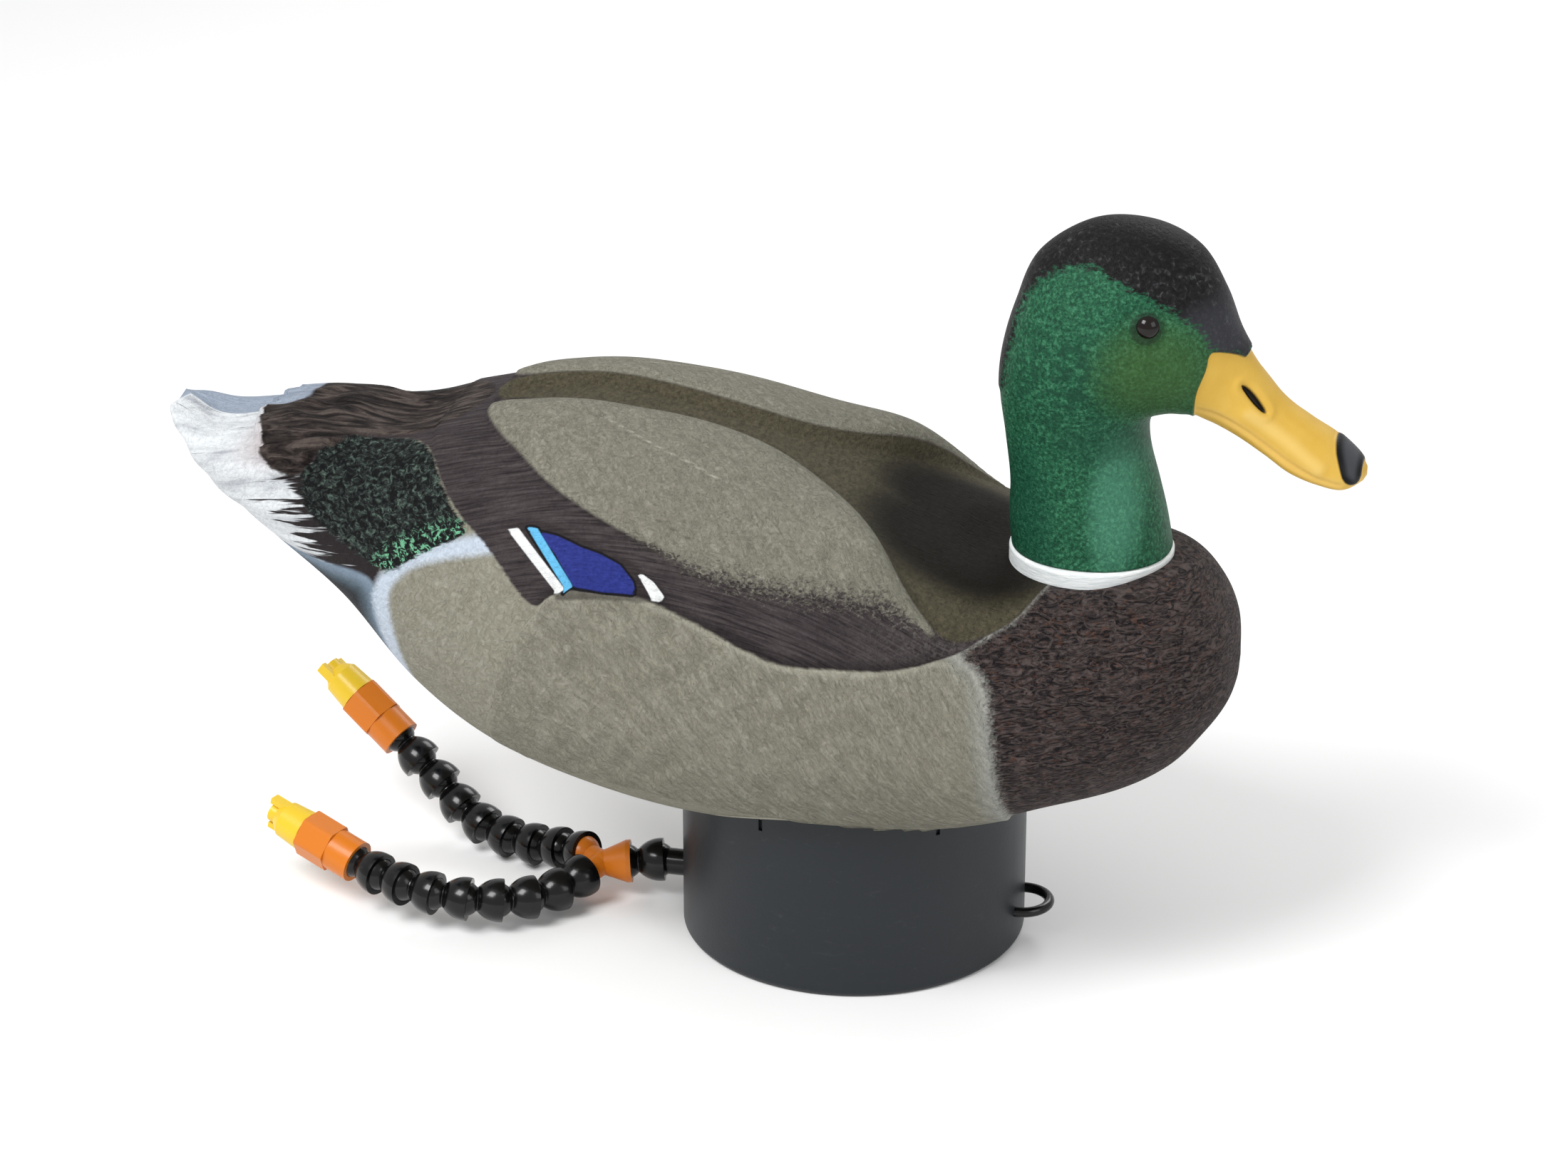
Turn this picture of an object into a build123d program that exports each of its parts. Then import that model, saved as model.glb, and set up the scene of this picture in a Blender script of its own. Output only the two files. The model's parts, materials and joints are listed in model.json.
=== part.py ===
from build123d import *
import os
from math import atan2, cos, hypot, pi, radians, sin

# A floating duck decoy on a round pump base.
# A motor in the base drives an impeller, and the water leaves through two jointed hoses
# whose nozzles push the decoy about. Units are millimetres.
# Origin: centre of the base's foot. +X points where the bill points, +Z is up.

# ---- base housing ----
BASE_R = 59.0
BASE_TOP = 68.0
BASE_WALL = 3.0
FLOOR = 3.0
FOOT_FILLET = 2.0
INNER_R = BASE_R - BASE_WALL
NOTCH_COUNT = 6
NOTCH_START_DEG = -50.0
NOTCH_WIDTH = 1.5
NOTCH_DEPTH = 1.2
NOTCH_BOTTOM = 58.0

# ---- lid ----
LID_THICK = 4.0
LEDGE_TOP = BASE_TOP - LID_THICK - 1.5
LEDGE_INNER_R = 52.0
LID_R = INNER_R - 0.2
LID_SCREW_RING_R = 48.5
LID_SCREW_COUNT = 6
LID_SCREW_START_DEG = 30.0
SCREW_R = 1.5
SCREW_HEAD_R = 2.9
SCREW_HEAD = 1.8
SCREW_DEPTH = 10.0
BOSS_R = 4.2

# ---- tie loop on the front of the wall ----
LOOP_R = 9.3
LOOP_ROD_R = 1.75
LOOP_Z = 13.0
LOOP_INNER_END_X = 51.5
LOOP_NUT_R = 3.4
LOOP_NUT_THICK = 2.4

# ---- pump ----
PUMP_X = -17.5
VOLUTE_R = 21.0
VOLUTE_BORE_R = 17.5
VOLUTE_TOP = 24.0
VOLUTE_ROOF = 3.0
INLET_R = 10.5
IMPELLER_R = 15.5
IMPELLER_Z = 8.0
IMPELLER_TOP = 18.5
VANE_COUNT = 6
SHAFT_R = 1.5
RUNNING_GAP = 0.05
SEAL_R = 4.0
MOTOR_R = 14.0
MOTOR_TOP = 57.0
GRILLE_R = 15.5
GRILLE_THICK = 1.6
GRILLE_BAR = 1.8
GRILLE_BAR_PITCH = 4.0
GRILLE_SCREW_RING_R = 13.0
GRILLE_SCREW_R = 1.2

# ---- battery and board ----
CELL_R = 9.2
CELL_LENGTH = 65.0
CELL_XS = (16.6, 35.4)
CELL_ZS = (15.0, 33.8)
STRAP_HALF = 6.0
STRAP_THICK = 1.2
BOARD_X = -43.0
BOARD_Y = 22.0
BOARD_THICK = 1.6
BOARD_TOP = 44.0

# ---- switch and charging socket, in a flat recess on the far side ----
PANEL_HALF = 24.0
PANEL_Y = 56.0
PANEL_Z = 37.0
PANEL_LOW, PANEL_HIGH = 24.0, 50.0
SWITCH_X = 8.5
JACK_X = -9.5
JACK_R = 4.9
ROCKER_HALF_X, ROCKER_HALF_Z = 4.2, 6.6
ROCKER_PIVOT_Y = PANEL_Y - 1.0
PIVOT_R = 1.0
CAP_R = 6.0
CAP_PIN_R = 0.6
CAP_PIVOT_Y = PANEL_Y + 1.9
CAP_PIVOT_Z = PANEL_Z - 8.3

# ---- outlet ----
OUTLET_Z = 13.5
STUB_R = 4.65
STUB_BORE_R = 3.0
STUB_BALL_X = -70.0
SPOUT_R = 6.6
SPOUT_END_X = -48.0

# ---- ball-jointed hose ----
LINK_PITCH = 11.5
BALL_R = 6.2
SOCKET_R = BALL_R + 0.08
LINK_R = 7.5
LINK_BORE_R = 3.0
LINK_SHOULDER = (6.9, 2.6)
NECK_R = 4.2
NECK_START_Z = 6.6
RIM_Z = -2.2
BALL_TIP_Z = 16.3
WYE_INLET = 8.0
WYE_ARM = 10.4
ARM_BALL_CUT = 4.8

# ---- nozzle end ----
ADAPTER_HEX_FLATS = 15.2
ADAPTER_LENGTH = 22.0
ADAPTER_CUP_TOP = 8.5
ADAPTER_CORNER_R = 8.45
NOZZLE_PLUG_R = 5.2
NOZZLE_R = 7.3
NOZZLE_LENGTH = 15.5
NOZZLE_TAPER = 0.7
JET_R = 2.2
JET_RIM_R = 3.5
FINGER_TAB = (3.6, 2.2)

# ---- duck shell ----
SHELL_WALL = 3.0
COLLAR_GAP = 0.35
COLLAR_WALL = 2.85
SEAT_Z = BASE_TOP + 0.3
COLLAR_TOP = 74.0
NECK_X = 79.5
NECK_RING_R = 27.3
NECK_BORE_R = 22.2
NECK_RING_BOTTOM = 132.0
NECK_RING_TOP = 149.0
HEAD_BOTTOM = 149.3
EYE_R = 4.6
EYE_X, EYE_Y, EYE_Z = 98.4, 20.2, 234.0

# Body stations: x, keel height, back height, half width, height of the widest point
# as a share of the height from keel to back.
BODY = [
    (129.5, 105, 119, 6, 0.50),
    (127, 97, 127, 20, 0.50),
    (121, 88, 135, 33, 0.50),
    (111, 77, 140, 46, 0.50),
    (96, 69, 142, 58, 0.50),
    (74, 63, 143, 70, 0.50),
    (45, 55, 147, 80, 0.50),
    (5, 49, 167, 84, 0.48),
    (-40, 46, 183, 80, 0.45),
    (-80, 50, 189, 71, 0.44),
    (-118, 60, 186, 58, 0.45),
    (-148, 78, 180, 46, 0.50),
    (-173, 106, 175, 38, 0.58),
    (-198, 128, 171, 34, 0.65),
    (-220, 147, 167, 27, 0.70),
    (-238, 167, 173, 9, 0.70),
]
BODY_LOW_POWER = 2.0
BODY_HIGH_POWER = 2.8

# Neck stations: height, x at the nape, x at the throat, half width.
NECK = [
    (HEAD_BOTTOM, 53, 106, 25.6),
    (160, 52, 104, 24),
    (172, 52, 101, 22.5),
    (186, 50.5, 98, 22),
    (199, 50.5, 96, 21.5),
    (212, 55, 93, 18),
    (222, 61, 88, 12),
]
# Skull and bill stations: x, underside height, top height, half width, widest share.
SKULL = [
    (47.8, 205, 213, 5, 0.50),
    (49.5, 198, 222, 12, 0.50),
    (53, 192, 233, 18, 0.50),
    (60, 188, 249, 23, 0.50),
    (76, 186, 260.5, 26, 0.50),
    (95, 190, 261.5, 24.5, 0.48),
    (105, 196, 258, 22.5, 0.45),
    (112, 198, 253, 20.5, 0.42),
    (118, 197, 244, 17.5, 0.40),
    (124, 194, 231, 14, 0.38),
    (132, 189, 216, 12, 0.34),
    (141, 184.5, 205.5, 12, 0.30),
    (150, 180.5, 199, 13, 0.28),
    (158, 178, 194, 13.5, 0.30),
    (165, 177, 188, 11, 0.36),
    (168.6, 179.7, 183.8, 3.5, 0.50),
]
HEAD_POWER = 2.15
# Hollow inside neck and skull: height, rear x, front x, half width.
HEAD_HOLLOW = [
    (HEAD_BOTTOM - 1, 56, 103, 22.4),
    (172, 55, 98, 19.5),
    (192, 53.5, 94, 19.3),
    (210, 53.5, 97, 20),
    (228, 57, 107, 20.5),
    (243, 64, 105, 17.5),
    (253, 75, 97, 10),
]

# Hose directions, degrees: heading (0 runs straight back, plus turns to the far side)
# and climb. The first pair is the link on the outlet, then the two arms of the Y.
FEED_AIM = (-12, -4)
NEAR_ARM_AIM = (-57, -10)
FAR_ARM_AIM = (33, 2)
NEAR_AIMS = [(-60, -4), (-47, 2), (-33, 5), (-18, 6), (-4, 7), (11, 6), (24, 3), (26, 7), (20, 15)]
FAR_AIMS = [(28, -11), (22, -9), (19, 0), (23, 8), (27, 21), (26, 34), (20, 36), (19, 36), (20, 34)]


# ---- small helpers ----
def rod(radius, z0, z1, x=0.0, y=0.0):
    """Upright cylinder between two heights."""
    return Pos(x, y, (z0 + z1) / 2) * Cylinder(radius, z1 - z0)


def block(x0, x1, y0, y1, z0, z1):
    """Box between two corners."""
    return Pos((x0 + x1) / 2, (y0 + y1) / 2, (z0 + z1) / 2) * Box(x1 - x0, y1 - y0, z1 - z0)


def rod_x(radius, x0, x1, y=0.0, z=0.0):
    """Cylinder along X."""
    return Pos((x0 + x1) / 2, y, z) * Rot(0, 90, 0) * Cylinder(radius, x1 - x0)


def rod_y(radius, y0, y1, x=0.0, z=0.0):
    """Cylinder along Y."""
    return Pos(x, (y0 + y1) / 2, z) * Rot(90, 0, 0) * Cylinder(radius, y1 - y0)


def around(shape, count, start_deg=0.0):
    """Copies of a shape turned about the Z axis."""
    return [Rot(0, 0, start_deg + 360 * i / count) * shape for i in range(count)]


def save(name, *shapes):
    """Write one node; several shapes stay separate solids."""
    solids = [s for shape in shapes for s in shape.solids()]
    node = Compound(label=name, children=solids) if len(solids) > 1 else solids[0]
    export_step(node, f"parts/{name}.step")


# ---- directions along the hose ----
def aim(heading, climb):
    """Unit vector of a hose piece from its heading and climb."""
    h, c = radians(heading), radians(climb)
    return Vector(-cos(h) * cos(c), sin(h) * cos(c), sin(c))


def along(start, direction):
    """Placement with its Z axis along a direction."""
    return Plane(origin=start, z_dir=direction).location


def chain(start, aims, pitch):
    """Joint centres of a row of links, one for each aim and one past the last."""
    centres = [start]
    for heading, climb in aims:
        centres.append(centres[-1] + aim(heading, climb) * pitch)
    return centres


# ---- lofted shells ----
def egg_wire(low, high, half_width, widest, low_power, high_power, inset=0.0):
    """Closed egg-shaped wire through two points of the mid plane and square to it."""
    length = hypot(high[0] - low[0], high[1] - low[1])
    ux, uz = (high[0] - low[0]) / length, (high[1] - low[1]) / length
    count = 20
    points = []
    for i in range(count):
        angle = 2 * pi * i / count
        power = high_power if sin(angle) >= 0 else low_power
        side = abs(cos(angle)) ** (2 / power) * (1 if cos(angle) >= 0 else -1)
        rise = abs(sin(angle)) ** (2 / power)
        middle = widest * length
        if sin(angle) >= 0:
            up = middle + (length - inset - middle) * rise
        else:
            up = middle - (middle - inset) * rise
        points.append(Vector(low[0] + ux * up, (half_width - inset) * side, low[1] + uz * up))
    return Wire([Spline(*points, periodic=True)])


def body_solid():
    """Outer form of the duck's body, filled."""
    wires = [
        egg_wire((x, keel), (x, back), half, widest, BODY_LOW_POWER, BODY_HIGH_POWER)
        for x, keel, back, half, widest in BODY
    ]
    return Solid.make_loft(wires)


def body_cavity():
    """Space inside the body's wall."""
    squeeze = 1 - SHELL_WALL / BODY[0][0]
    wires = [
        egg_wire((x * squeeze, keel), (x * squeeze, back), half, widest,
                 BODY_LOW_POWER, BODY_HIGH_POWER, SHELL_WALL)
        for x, keel, back, half, widest in BODY[1:-1]
    ]
    return Solid.make_loft(wires)


def level_loft(stations):
    """Solid through level sections given by height, two x values and half width."""
    return Solid.make_loft([
        egg_wire((rear, z), (front, z), half, 0.5, HEAD_POWER, HEAD_POWER)
        for z, rear, front, half in stations
    ])


def head_solid():
    """Neck, skull and bill, filled."""
    skull = Solid.make_loft([
        egg_wire((x, under), (x, top), half, widest, HEAD_POWER, HEAD_POWER)
        for x, under, top, half, widest in SKULL
    ])
    return skull + level_loft(NECK)


# ---- base ----
def base_notches(width, r_in, r_out, z0, z1):
    """Upright bars at the locking notches."""
    bar = block(r_in, r_out, -width / 2, width / 2, z0, z1)
    return around(bar, NOTCH_COUNT, NOTCH_START_DEG)


def make_base_housing():
    cup = rod(BASE_R, 0, BASE_TOP)
    cup = fillet(cup.edges().sort_by(Axis.Z)[0], FOOT_FILLET)
    cup -= rod(INNER_R, FLOOR, BASE_TOP + 1)
    cup += rod(INNER_R + 0.5, LEDGE_TOP - 3, LEDGE_TOP) - rod(LEDGE_INNER_R, LEDGE_TOP - 4, LEDGE_TOP + 1)
    for boss in lid_spots(rod(BOSS_R, LEDGE_TOP - 14, LEDGE_TOP)):
        cup += boss
    for hole in lid_spots(rod(SCREW_R, LEDGE_TOP - 11, LEDGE_TOP + 1)):
        cup -= hole
    pad = block(-PANEL_HALF, PANEL_HALF, PANEL_Y - 4.5, BASE_R, PANEL_LOW - 3, PANEL_HIGH + 3)
    cup += pad & rod(INNER_R + 0.5, 0, BASE_TOP)
    cup -= block(-PANEL_HALF, PANEL_HALF, PANEL_Y, BASE_R + 1, PANEL_LOW, PANEL_HIGH)
    cup -= block(SWITCH_X - 5.5, SWITCH_X + 5.5, 45, PANEL_Y + 1, PANEL_Z - 8.5, PANEL_Z + 8.5)
    cup -= rod_y(5.0, 45, PANEL_Y + 1, JACK_X, PANEL_Z)
    for side in (-1, 1):
        rib = block(BOARD_X - 3, BOARD_X + 3, BOARD_Y - 2, BOARD_Y + 3, FLOOR - 0.5, 40)
        rib -= block(BOARD_X - 0.9, BOARD_X + 0.9, BOARD_Y - 3, BOARD_Y + 0.6, FLOOR + 5, 41)
        cup += rib if side > 0 else mirror(rib, Plane.XZ)
    cup -= rod(INLET_R, -1, FLOOR + 1, PUMP_X)
    cup -= rod(GRILLE_R + 0.2, -1, GRILLE_THICK + 0.2, PUMP_X)
    for hole in grille_spots(rod(GRILLE_SCREW_R, -1, FLOOR + 1)):
        cup -= hole
    cup -= rod_x(STUB_R, -BASE_R - 1, -INNER_R + 1, 0, OUTLET_Z)
    for leg in (-1, 1):
        cup -= rod_x(LOOP_ROD_R, 50, BASE_R + 1, leg * LOOP_R, LOOP_Z)
    for notch in base_notches(NOTCH_WIDTH, BASE_R - NOTCH_DEPTH, BASE_R + 1, NOTCH_BOTTOM, BASE_TOP + 1):
        cup -= notch
    return cup


def grille_spots(shape):
    """Copies of a shape at the inlet grille's three screws."""
    return [Pos(PUMP_X, 0, 0) * spot for spot in around(Pos(GRILLE_SCREW_RING_R, 0, 0) * shape, 3, 60)]


def make_inlet_grille():
    grille = rod(GRILLE_R, 0.1, GRILLE_THICK, PUMP_X)
    slots = rod(INLET_R - 1, -1, 3, PUMP_X)
    for row in range(-2, 3):
        middle = GRILLE_BAR_PITCH * row
        slots -= block(PUMP_X - 20, PUMP_X + 20, middle - GRILLE_BAR / 2, middle + GRILLE_BAR / 2, -2, 4)
    grille -= slots
    for hole in grille_spots(rod(2.2, -1, 1.0)):
        grille -= hole
    for hole in grille_spots(rod(GRILLE_SCREW_R, 0, 3)):
        grille -= hole
    return grille


def make_grille_screws():
    screw = rod(2.1, 0.15, 1.0) + rod(1.15, 0.9, FLOOR)
    return grille_spots(screw)


def lid_spots(shape):
    """Copies of a shape at the lid's screws."""
    return around(Pos(LID_SCREW_RING_R, 0, 0) * shape, LID_SCREW_COUNT, LID_SCREW_START_DEG)


def make_base_lid():
    lid = rod(LID_R, BASE_TOP - LID_THICK, BASE_TOP)
    for cut in lid_spots(rod(SCREW_HEAD_R + 0.1, BASE_TOP - SCREW_HEAD, BASE_TOP + 1)):
        lid -= cut
    for cut in lid_spots(rod(SCREW_R + 0.1, BASE_TOP - 6, BASE_TOP)):
        lid -= cut
    return lid


def make_lid_screws():
    screw = rod(SCREW_HEAD_R, BASE_TOP - SCREW_HEAD, BASE_TOP - 0.1)
    screw += rod(SCREW_R, LEDGE_TOP - SCREW_DEPTH, BASE_TOP - 1)
    for turn in (-45, 45):
        screw -= Pos(0, 0, BASE_TOP) * Rot(0, 0, turn) * Box(4.2, 0.8, 1.4)
    return lid_spots(screw)


def make_lid_seal():
    ring = rod(INNER_R - 0.4, LEDGE_TOP, LEDGE_TOP + 1.5)
    return ring - rod(LEDGE_INNER_R + 1.2, LEDGE_TOP - 1, LEDGE_TOP + 2)


def make_tie_loop():
    arc = CenterArc((0, 0), LOOP_R, -90, 180)
    path = Pos(BASE_R, 0, LOOP_Z) * Wire([arc])
    section = Plane(origin=path @ 0, z_dir=path % 0) * Circle(LOOP_ROD_R)
    loop = sweep(section, path)
    for leg in (-1, 1):
        loop += rod_x(LOOP_ROD_R, LOOP_INNER_END_X, BASE_R, leg * LOOP_R, LOOP_Z)
    return loop


def make_loop_nuts():
    nuts = []
    nut_x = (INNER_R ** 2 - LOOP_R ** 2) ** 0.5 - LOOP_NUT_THICK - 1.2
    for leg in (-1, 1):
        nut = extrude(RegularPolygon(LOOP_NUT_R, 6), LOOP_NUT_THICK)
        nut = Pos(nut_x, leg * LOOP_R, LOOP_Z) * Rot(0, 90, 0) * nut
        nuts.append(nut - rod_x(LOOP_ROD_R, 40, 70, leg * LOOP_R, LOOP_Z))
    return nuts


# ---- pump, outlet and motor ----
def make_pump_volute():
    case = rod(VOLUTE_R, FLOOR, VOLUTE_TOP, PUMP_X)
    case += rod_x(SPOUT_R, SPOUT_END_X, PUMP_X, 0, OUTLET_Z)
    case -= rod(VOLUTE_BORE_R, FLOOR - 1, VOLUTE_TOP - VOLUTE_ROOF, PUMP_X)
    case -= rod_x(STUB_R, SPOUT_END_X - 1, SPOUT_END_X + 8, 0, OUTLET_Z)
    case -= rod_x(STUB_BORE_R, SPOUT_END_X, PUMP_X - 10, 0, OUTLET_Z)
    case -= rod(SEAL_R, 15, VOLUTE_TOP + 1, PUMP_X)
    return case


def make_shaft_seal():
    ring = rod(SEAL_R, VOLUTE_TOP - VOLUTE_ROOF, VOLUTE_TOP, PUMP_X)
    return ring - rod(SHAFT_R + RUNNING_GAP, 0, 40, PUMP_X)


def make_impeller():
    wheel = rod(IMPELLER_R, IMPELLER_Z, IMPELLER_Z + 1.6, PUMP_X)
    wheel += rod(4.0, IMPELLER_Z, IMPELLER_TOP, PUMP_X)
    vane = Pos(9.4, 0, (IMPELLER_Z + IMPELLER_TOP) / 2) * Rot(0, 0, 28)
    vane = vane * Box(12.4, 1.4, IMPELLER_TOP - IMPELLER_Z)
    for blade in around(vane, VANE_COUNT):
        wheel += Pos(PUMP_X, 0, 0) * (blade & rod(IMPELLER_R, 0, 30))
    return wheel - rod(SHAFT_R, 0, 40, PUMP_X)


def make_impeller_shaft():
    return rod(SHAFT_R, IMPELLER_Z, VOLUTE_TOP + 14, PUMP_X)


def make_pump_motor():
    motor = rod(MOTOR_R, VOLUTE_TOP, MOTOR_TOP, PUMP_X)
    motor = fillet(motor.edges().filter_by(GeomType.CIRCLE).sort_by(Axis.Z)[-1], 2.0)
    motor += rod(5.0, MOTOR_TOP - 0.5, MOTOR_TOP + 2, PUMP_X)
    motor -= rod(SHAFT_R + RUNNING_GAP, VOLUTE_TOP - 1, VOLUTE_TOP + 15, PUMP_X)
    return motor


def make_outlet_stub():
    stub = rod_x(STUB_R, STUB_BALL_X, SPOUT_END_X + 8, 0, OUTLET_Z)
    ball = Pos(STUB_BALL_X, 0, OUTLET_Z) * Sphere(BALL_R)
    ball -= block(STUB_BALL_X - 10, STUB_BALL_X - 4.6, -9, 9, 0, 30)
    stub += ball
    return stub - rod_x(STUB_BORE_R, STUB_BALL_X - 10, 0, 0, OUTLET_Z)


def make_stub_nut():
    nut = Pos(-INNER_R + 0.9, 0, OUTLET_Z) * Rot(0, 90, 0) * extrude(RegularPolygon(8.4, 6), 4.0)
    return nut - rod_x(STUB_R, -70, -40, 0, OUTLET_Z)


# ---- electrics ----
def make_battery_cells():
    cells = []
    for x in CELL_XS:
        for z in CELL_ZS:
            cell = rod_y(CELL_R, -CELL_LENGTH / 2, CELL_LENGTH / 2, x, z)
            cell = chamfer(cell.edges().filter_by(GeomType.CIRCLE), 0.8)
            cells.append(cell + rod_y(2.8, CELL_LENGTH / 2 - 0.5, CELL_LENGTH / 2 + 1, x, z))
    return cells


def make_battery_cradle():
    cradle = block(CELL_XS[0] - 9, CELL_XS[1] + 9, -29, 29, FLOOR, CELL_ZS[0] - 3)
    for x in CELL_XS:
        cradle -= rod_y(CELL_R, -40, 40, x, CELL_ZS[0])
    return cradle


def make_battery_strap():
    rear, front = CELL_XS[0] - CELL_R - 0.4, CELL_XS[1] + CELL_R + 0.4
    top = CELL_ZS[1] + CELL_R + 0.1
    strap = block(rear - STRAP_THICK, front + STRAP_THICK, -STRAP_HALF, STRAP_HALF, FLOOR, top + 1.5)
    return strap - block(rear, front, -STRAP_HALF - 1, STRAP_HALF + 1, FLOOR - 1, top)


def make_control_board():
    front = BOARD_X + BOARD_THICK / 2
    board = block(front - BOARD_THICK, front, -BOARD_Y, BOARD_Y, FLOOR + 5.5, BOARD_TOP)
    board -= block(BOARD_X - 2, BOARD_X + 2, -9, 9, 0, 22)
    return board


def make_board_parts():
    front = BOARD_X + BOARD_THICK / 2
    chip = block(front, front + 1.6, -5, 5, 30, 40)
    relay = block(front, front + 8.2, 10, 19, 26, 38)
    coil = rod_x(4.0, front, front + 8.0, -14, 34)
    return [chip, relay, coil]


def make_switch_body():
    body = block(SWITCH_X - 7.5, SWITCH_X + 7.5, PANEL_Y, PANEL_Y + 1.4, PANEL_Z - 10.5, PANEL_Z + 10.5)
    body = fillet(body.edges().filter_by(Axis.Y), 1.5)
    body += block(SWITCH_X - 5.4, SWITCH_X + 5.4, PANEL_Y - 15, PANEL_Y + 0.5, PANEL_Z - 8.4, PANEL_Z + 8.4)
    body -= block(SWITCH_X - ROCKER_HALF_X - 0.25, SWITCH_X + ROCKER_HALF_X + 0.25,
                  PANEL_Y - 8, PANEL_Y + 3, PANEL_Z - ROCKER_HALF_Z - 0.5, PANEL_Z + ROCKER_HALF_Z + 0.5)
    body -= rod_x(PIVOT_R + RUNNING_GAP, SWITCH_X - 5.0, SWITCH_X + 5.0, ROCKER_PIVOT_Y, PANEL_Z)
    return body


def make_switch_rocker():
    """Rocker in its middle position: two faces falling away from the pivot line."""
    with BuildPart() as rocker:
        with BuildSketch(Plane.YZ.offset(SWITCH_X - ROCKER_HALF_X)):
            with BuildLine():
                Polyline(
                    (PANEL_Y - 3.2, PANEL_Z - ROCKER_HALF_Z),
                    (PANEL_Y + 2.6, PANEL_Z - ROCKER_HALF_Z),
                    (PANEL_Y + 1.2, PANEL_Z),
                    (PANEL_Y + 2.6, PANEL_Z + ROCKER_HALF_Z),
                    (PANEL_Y - 3.2, PANEL_Z + ROCKER_HALF_Z),
                    close=True,
                )
            make_face()
        extrude(amount=2 * ROCKER_HALF_X)
    pin = rod_x(PIVOT_R, SWITCH_X - 4.9, SWITCH_X + 4.9, ROCKER_PIVOT_Y, PANEL_Z)
    return rocker.part + pin


def make_charge_jack():
    jack = rod_y(6.6, PANEL_Y, PANEL_Y + 1.2, JACK_X, PANEL_Z)
    jack += rod_y(JACK_R, PANEL_Y - 13, PANEL_Y + 0.5, JACK_X, PANEL_Z)
    jack -= rod_y(JACK_R - 1.5, PANEL_Y - 9, PANEL_Y + 2, JACK_X, PANEL_Z)
    jack += rod_y(0.9, PANEL_Y - 9.5, PANEL_Y - 4, JACK_X, PANEL_Z)
    for ear_x in (JACK_X - 2.4, JACK_X + 2.4):
        jack += block(ear_x - 0.9, ear_x + 0.9, PANEL_Y, PANEL_Y + 2.9, PANEL_Z - 9.4, PANEL_Z - 6.0)
    return jack - rod_x(CAP_PIN_R + RUNNING_GAP, JACK_X - 5, JACK_X + 5, CAP_PIVOT_Y, CAP_PIVOT_Z)


def make_charge_cap():
    cap = rod_y(CAP_R, PANEL_Y + 1.3, PANEL_Y + 2.9, JACK_X, PANEL_Z)
    cap += rod_y(2.6, PANEL_Y - 0.2, PANEL_Y + 2, JACK_X, PANEL_Z)
    cap += block(JACK_X - 1.3, JACK_X + 1.3, PANEL_Y + 1.3, PANEL_Y + 2.9, CAP_PIVOT_Z, PANEL_Z)
    cap += rod_x(1.0, JACK_X - 1.3, JACK_X + 1.3, CAP_PIVOT_Y, CAP_PIVOT_Z)
    cap += rod_x(CAP_PIN_R, JACK_X - 3.2, JACK_X + 3.2, CAP_PIVOT_Y, CAP_PIVOT_Z)
    return cap


# ---- hose ----
def make_link():
    """One hose link: socket cup at its origin, waist, then a ball one pitch along +Z."""
    neck_z = LINK_PITCH - (BALL_R ** 2 - NECK_R ** 2) ** 0.5
    tip_r = (BALL_R ** 2 - (BALL_TIP_Z - LINK_PITCH) ** 2) ** 0.5
    rim_r = (SOCKET_R ** 2 - RIM_Z ** 2) ** 0.5
    cup_z = (SOCKET_R ** 2 - LINK_BORE_R ** 2) ** 0.5
    middle = (atan2(RIM_Z, rim_r) + atan2(cup_z, LINK_BORE_R)) / 2
    cup_middle = (SOCKET_R * cos(middle), SOCKET_R * sin(middle))
    with BuildPart() as link:
        with BuildSketch(Plane.XZ):
            with BuildLine():
                Line((rim_r, RIM_Z), (LINK_R, RIM_Z))
                ThreePointArc((LINK_R, RIM_Z), LINK_SHOULDER, (NECK_R, NECK_START_Z))
                if neck_z > NECK_START_Z:
                    Line((NECK_R, NECK_START_Z), (NECK_R, neck_z))
                ThreePointArc((NECK_R, neck_z), (BALL_R, LINK_PITCH), (tip_r, BALL_TIP_Z))
                Polyline((tip_r, BALL_TIP_Z), (LINK_BORE_R, BALL_TIP_Z), (LINK_BORE_R, cup_z))
                ThreePointArc((LINK_BORE_R, cup_z), cup_middle, (rim_r, RIM_Z))
            make_face()
        revolve(axis=Axis.Z)
    return link.part


def socket_bell(outer_r, length):
    """Cup that grips a ball at its own origin and narrows along +Z."""
    with BuildPart() as bell:
        with BuildSketch(Plane.XZ):
            with BuildLine():
                rim = (SOCKET_R ** 2 - RIM_Z ** 2) ** 0.5
                Polyline((rim, RIM_Z), (outer_r, RIM_Z), (outer_r, RIM_Z + 1.6), (NECK_R, length),
                         (0, length), (0, RIM_Z), (rim, RIM_Z))
            make_face()
        revolve(axis=Axis.Z)
    return bell.part


def arm_ball(length):
    """Solid neck and ball at the end of one arm of the Y."""
    ball = Pos(0, 0, length) * Sphere(BALL_R) - block(-9, 9, -9, 9, length + ARM_BALL_CUT, 30)
    return rod(NECK_R, 0, length) + ball


def make_hose_wye(socket, crotch):
    body = along(socket, aim(*FEED_AIM)) * socket_bell(LINK_R, WYE_INLET)
    body += Pos(*crotch) * Sphere(NECK_R + 0.4)
    for arm in (NEAR_ARM_AIM, FAR_ARM_AIM):
        body += along(crotch, aim(*arm)) * arm_ball(WYE_ARM)
    for arm in (NEAR_ARM_AIM, FAR_ARM_AIM):
        body -= along(crotch, aim(*arm)) * rod(LINK_BORE_R, 0, 20)
    body -= along(socket, aim(*FEED_AIM)) * rod(LINK_BORE_R, 0, WYE_INLET)
    body -= Pos(*crotch) * Sphere(LINK_BORE_R)
    return body - Pos(*socket) * Sphere(SOCKET_R)


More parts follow.
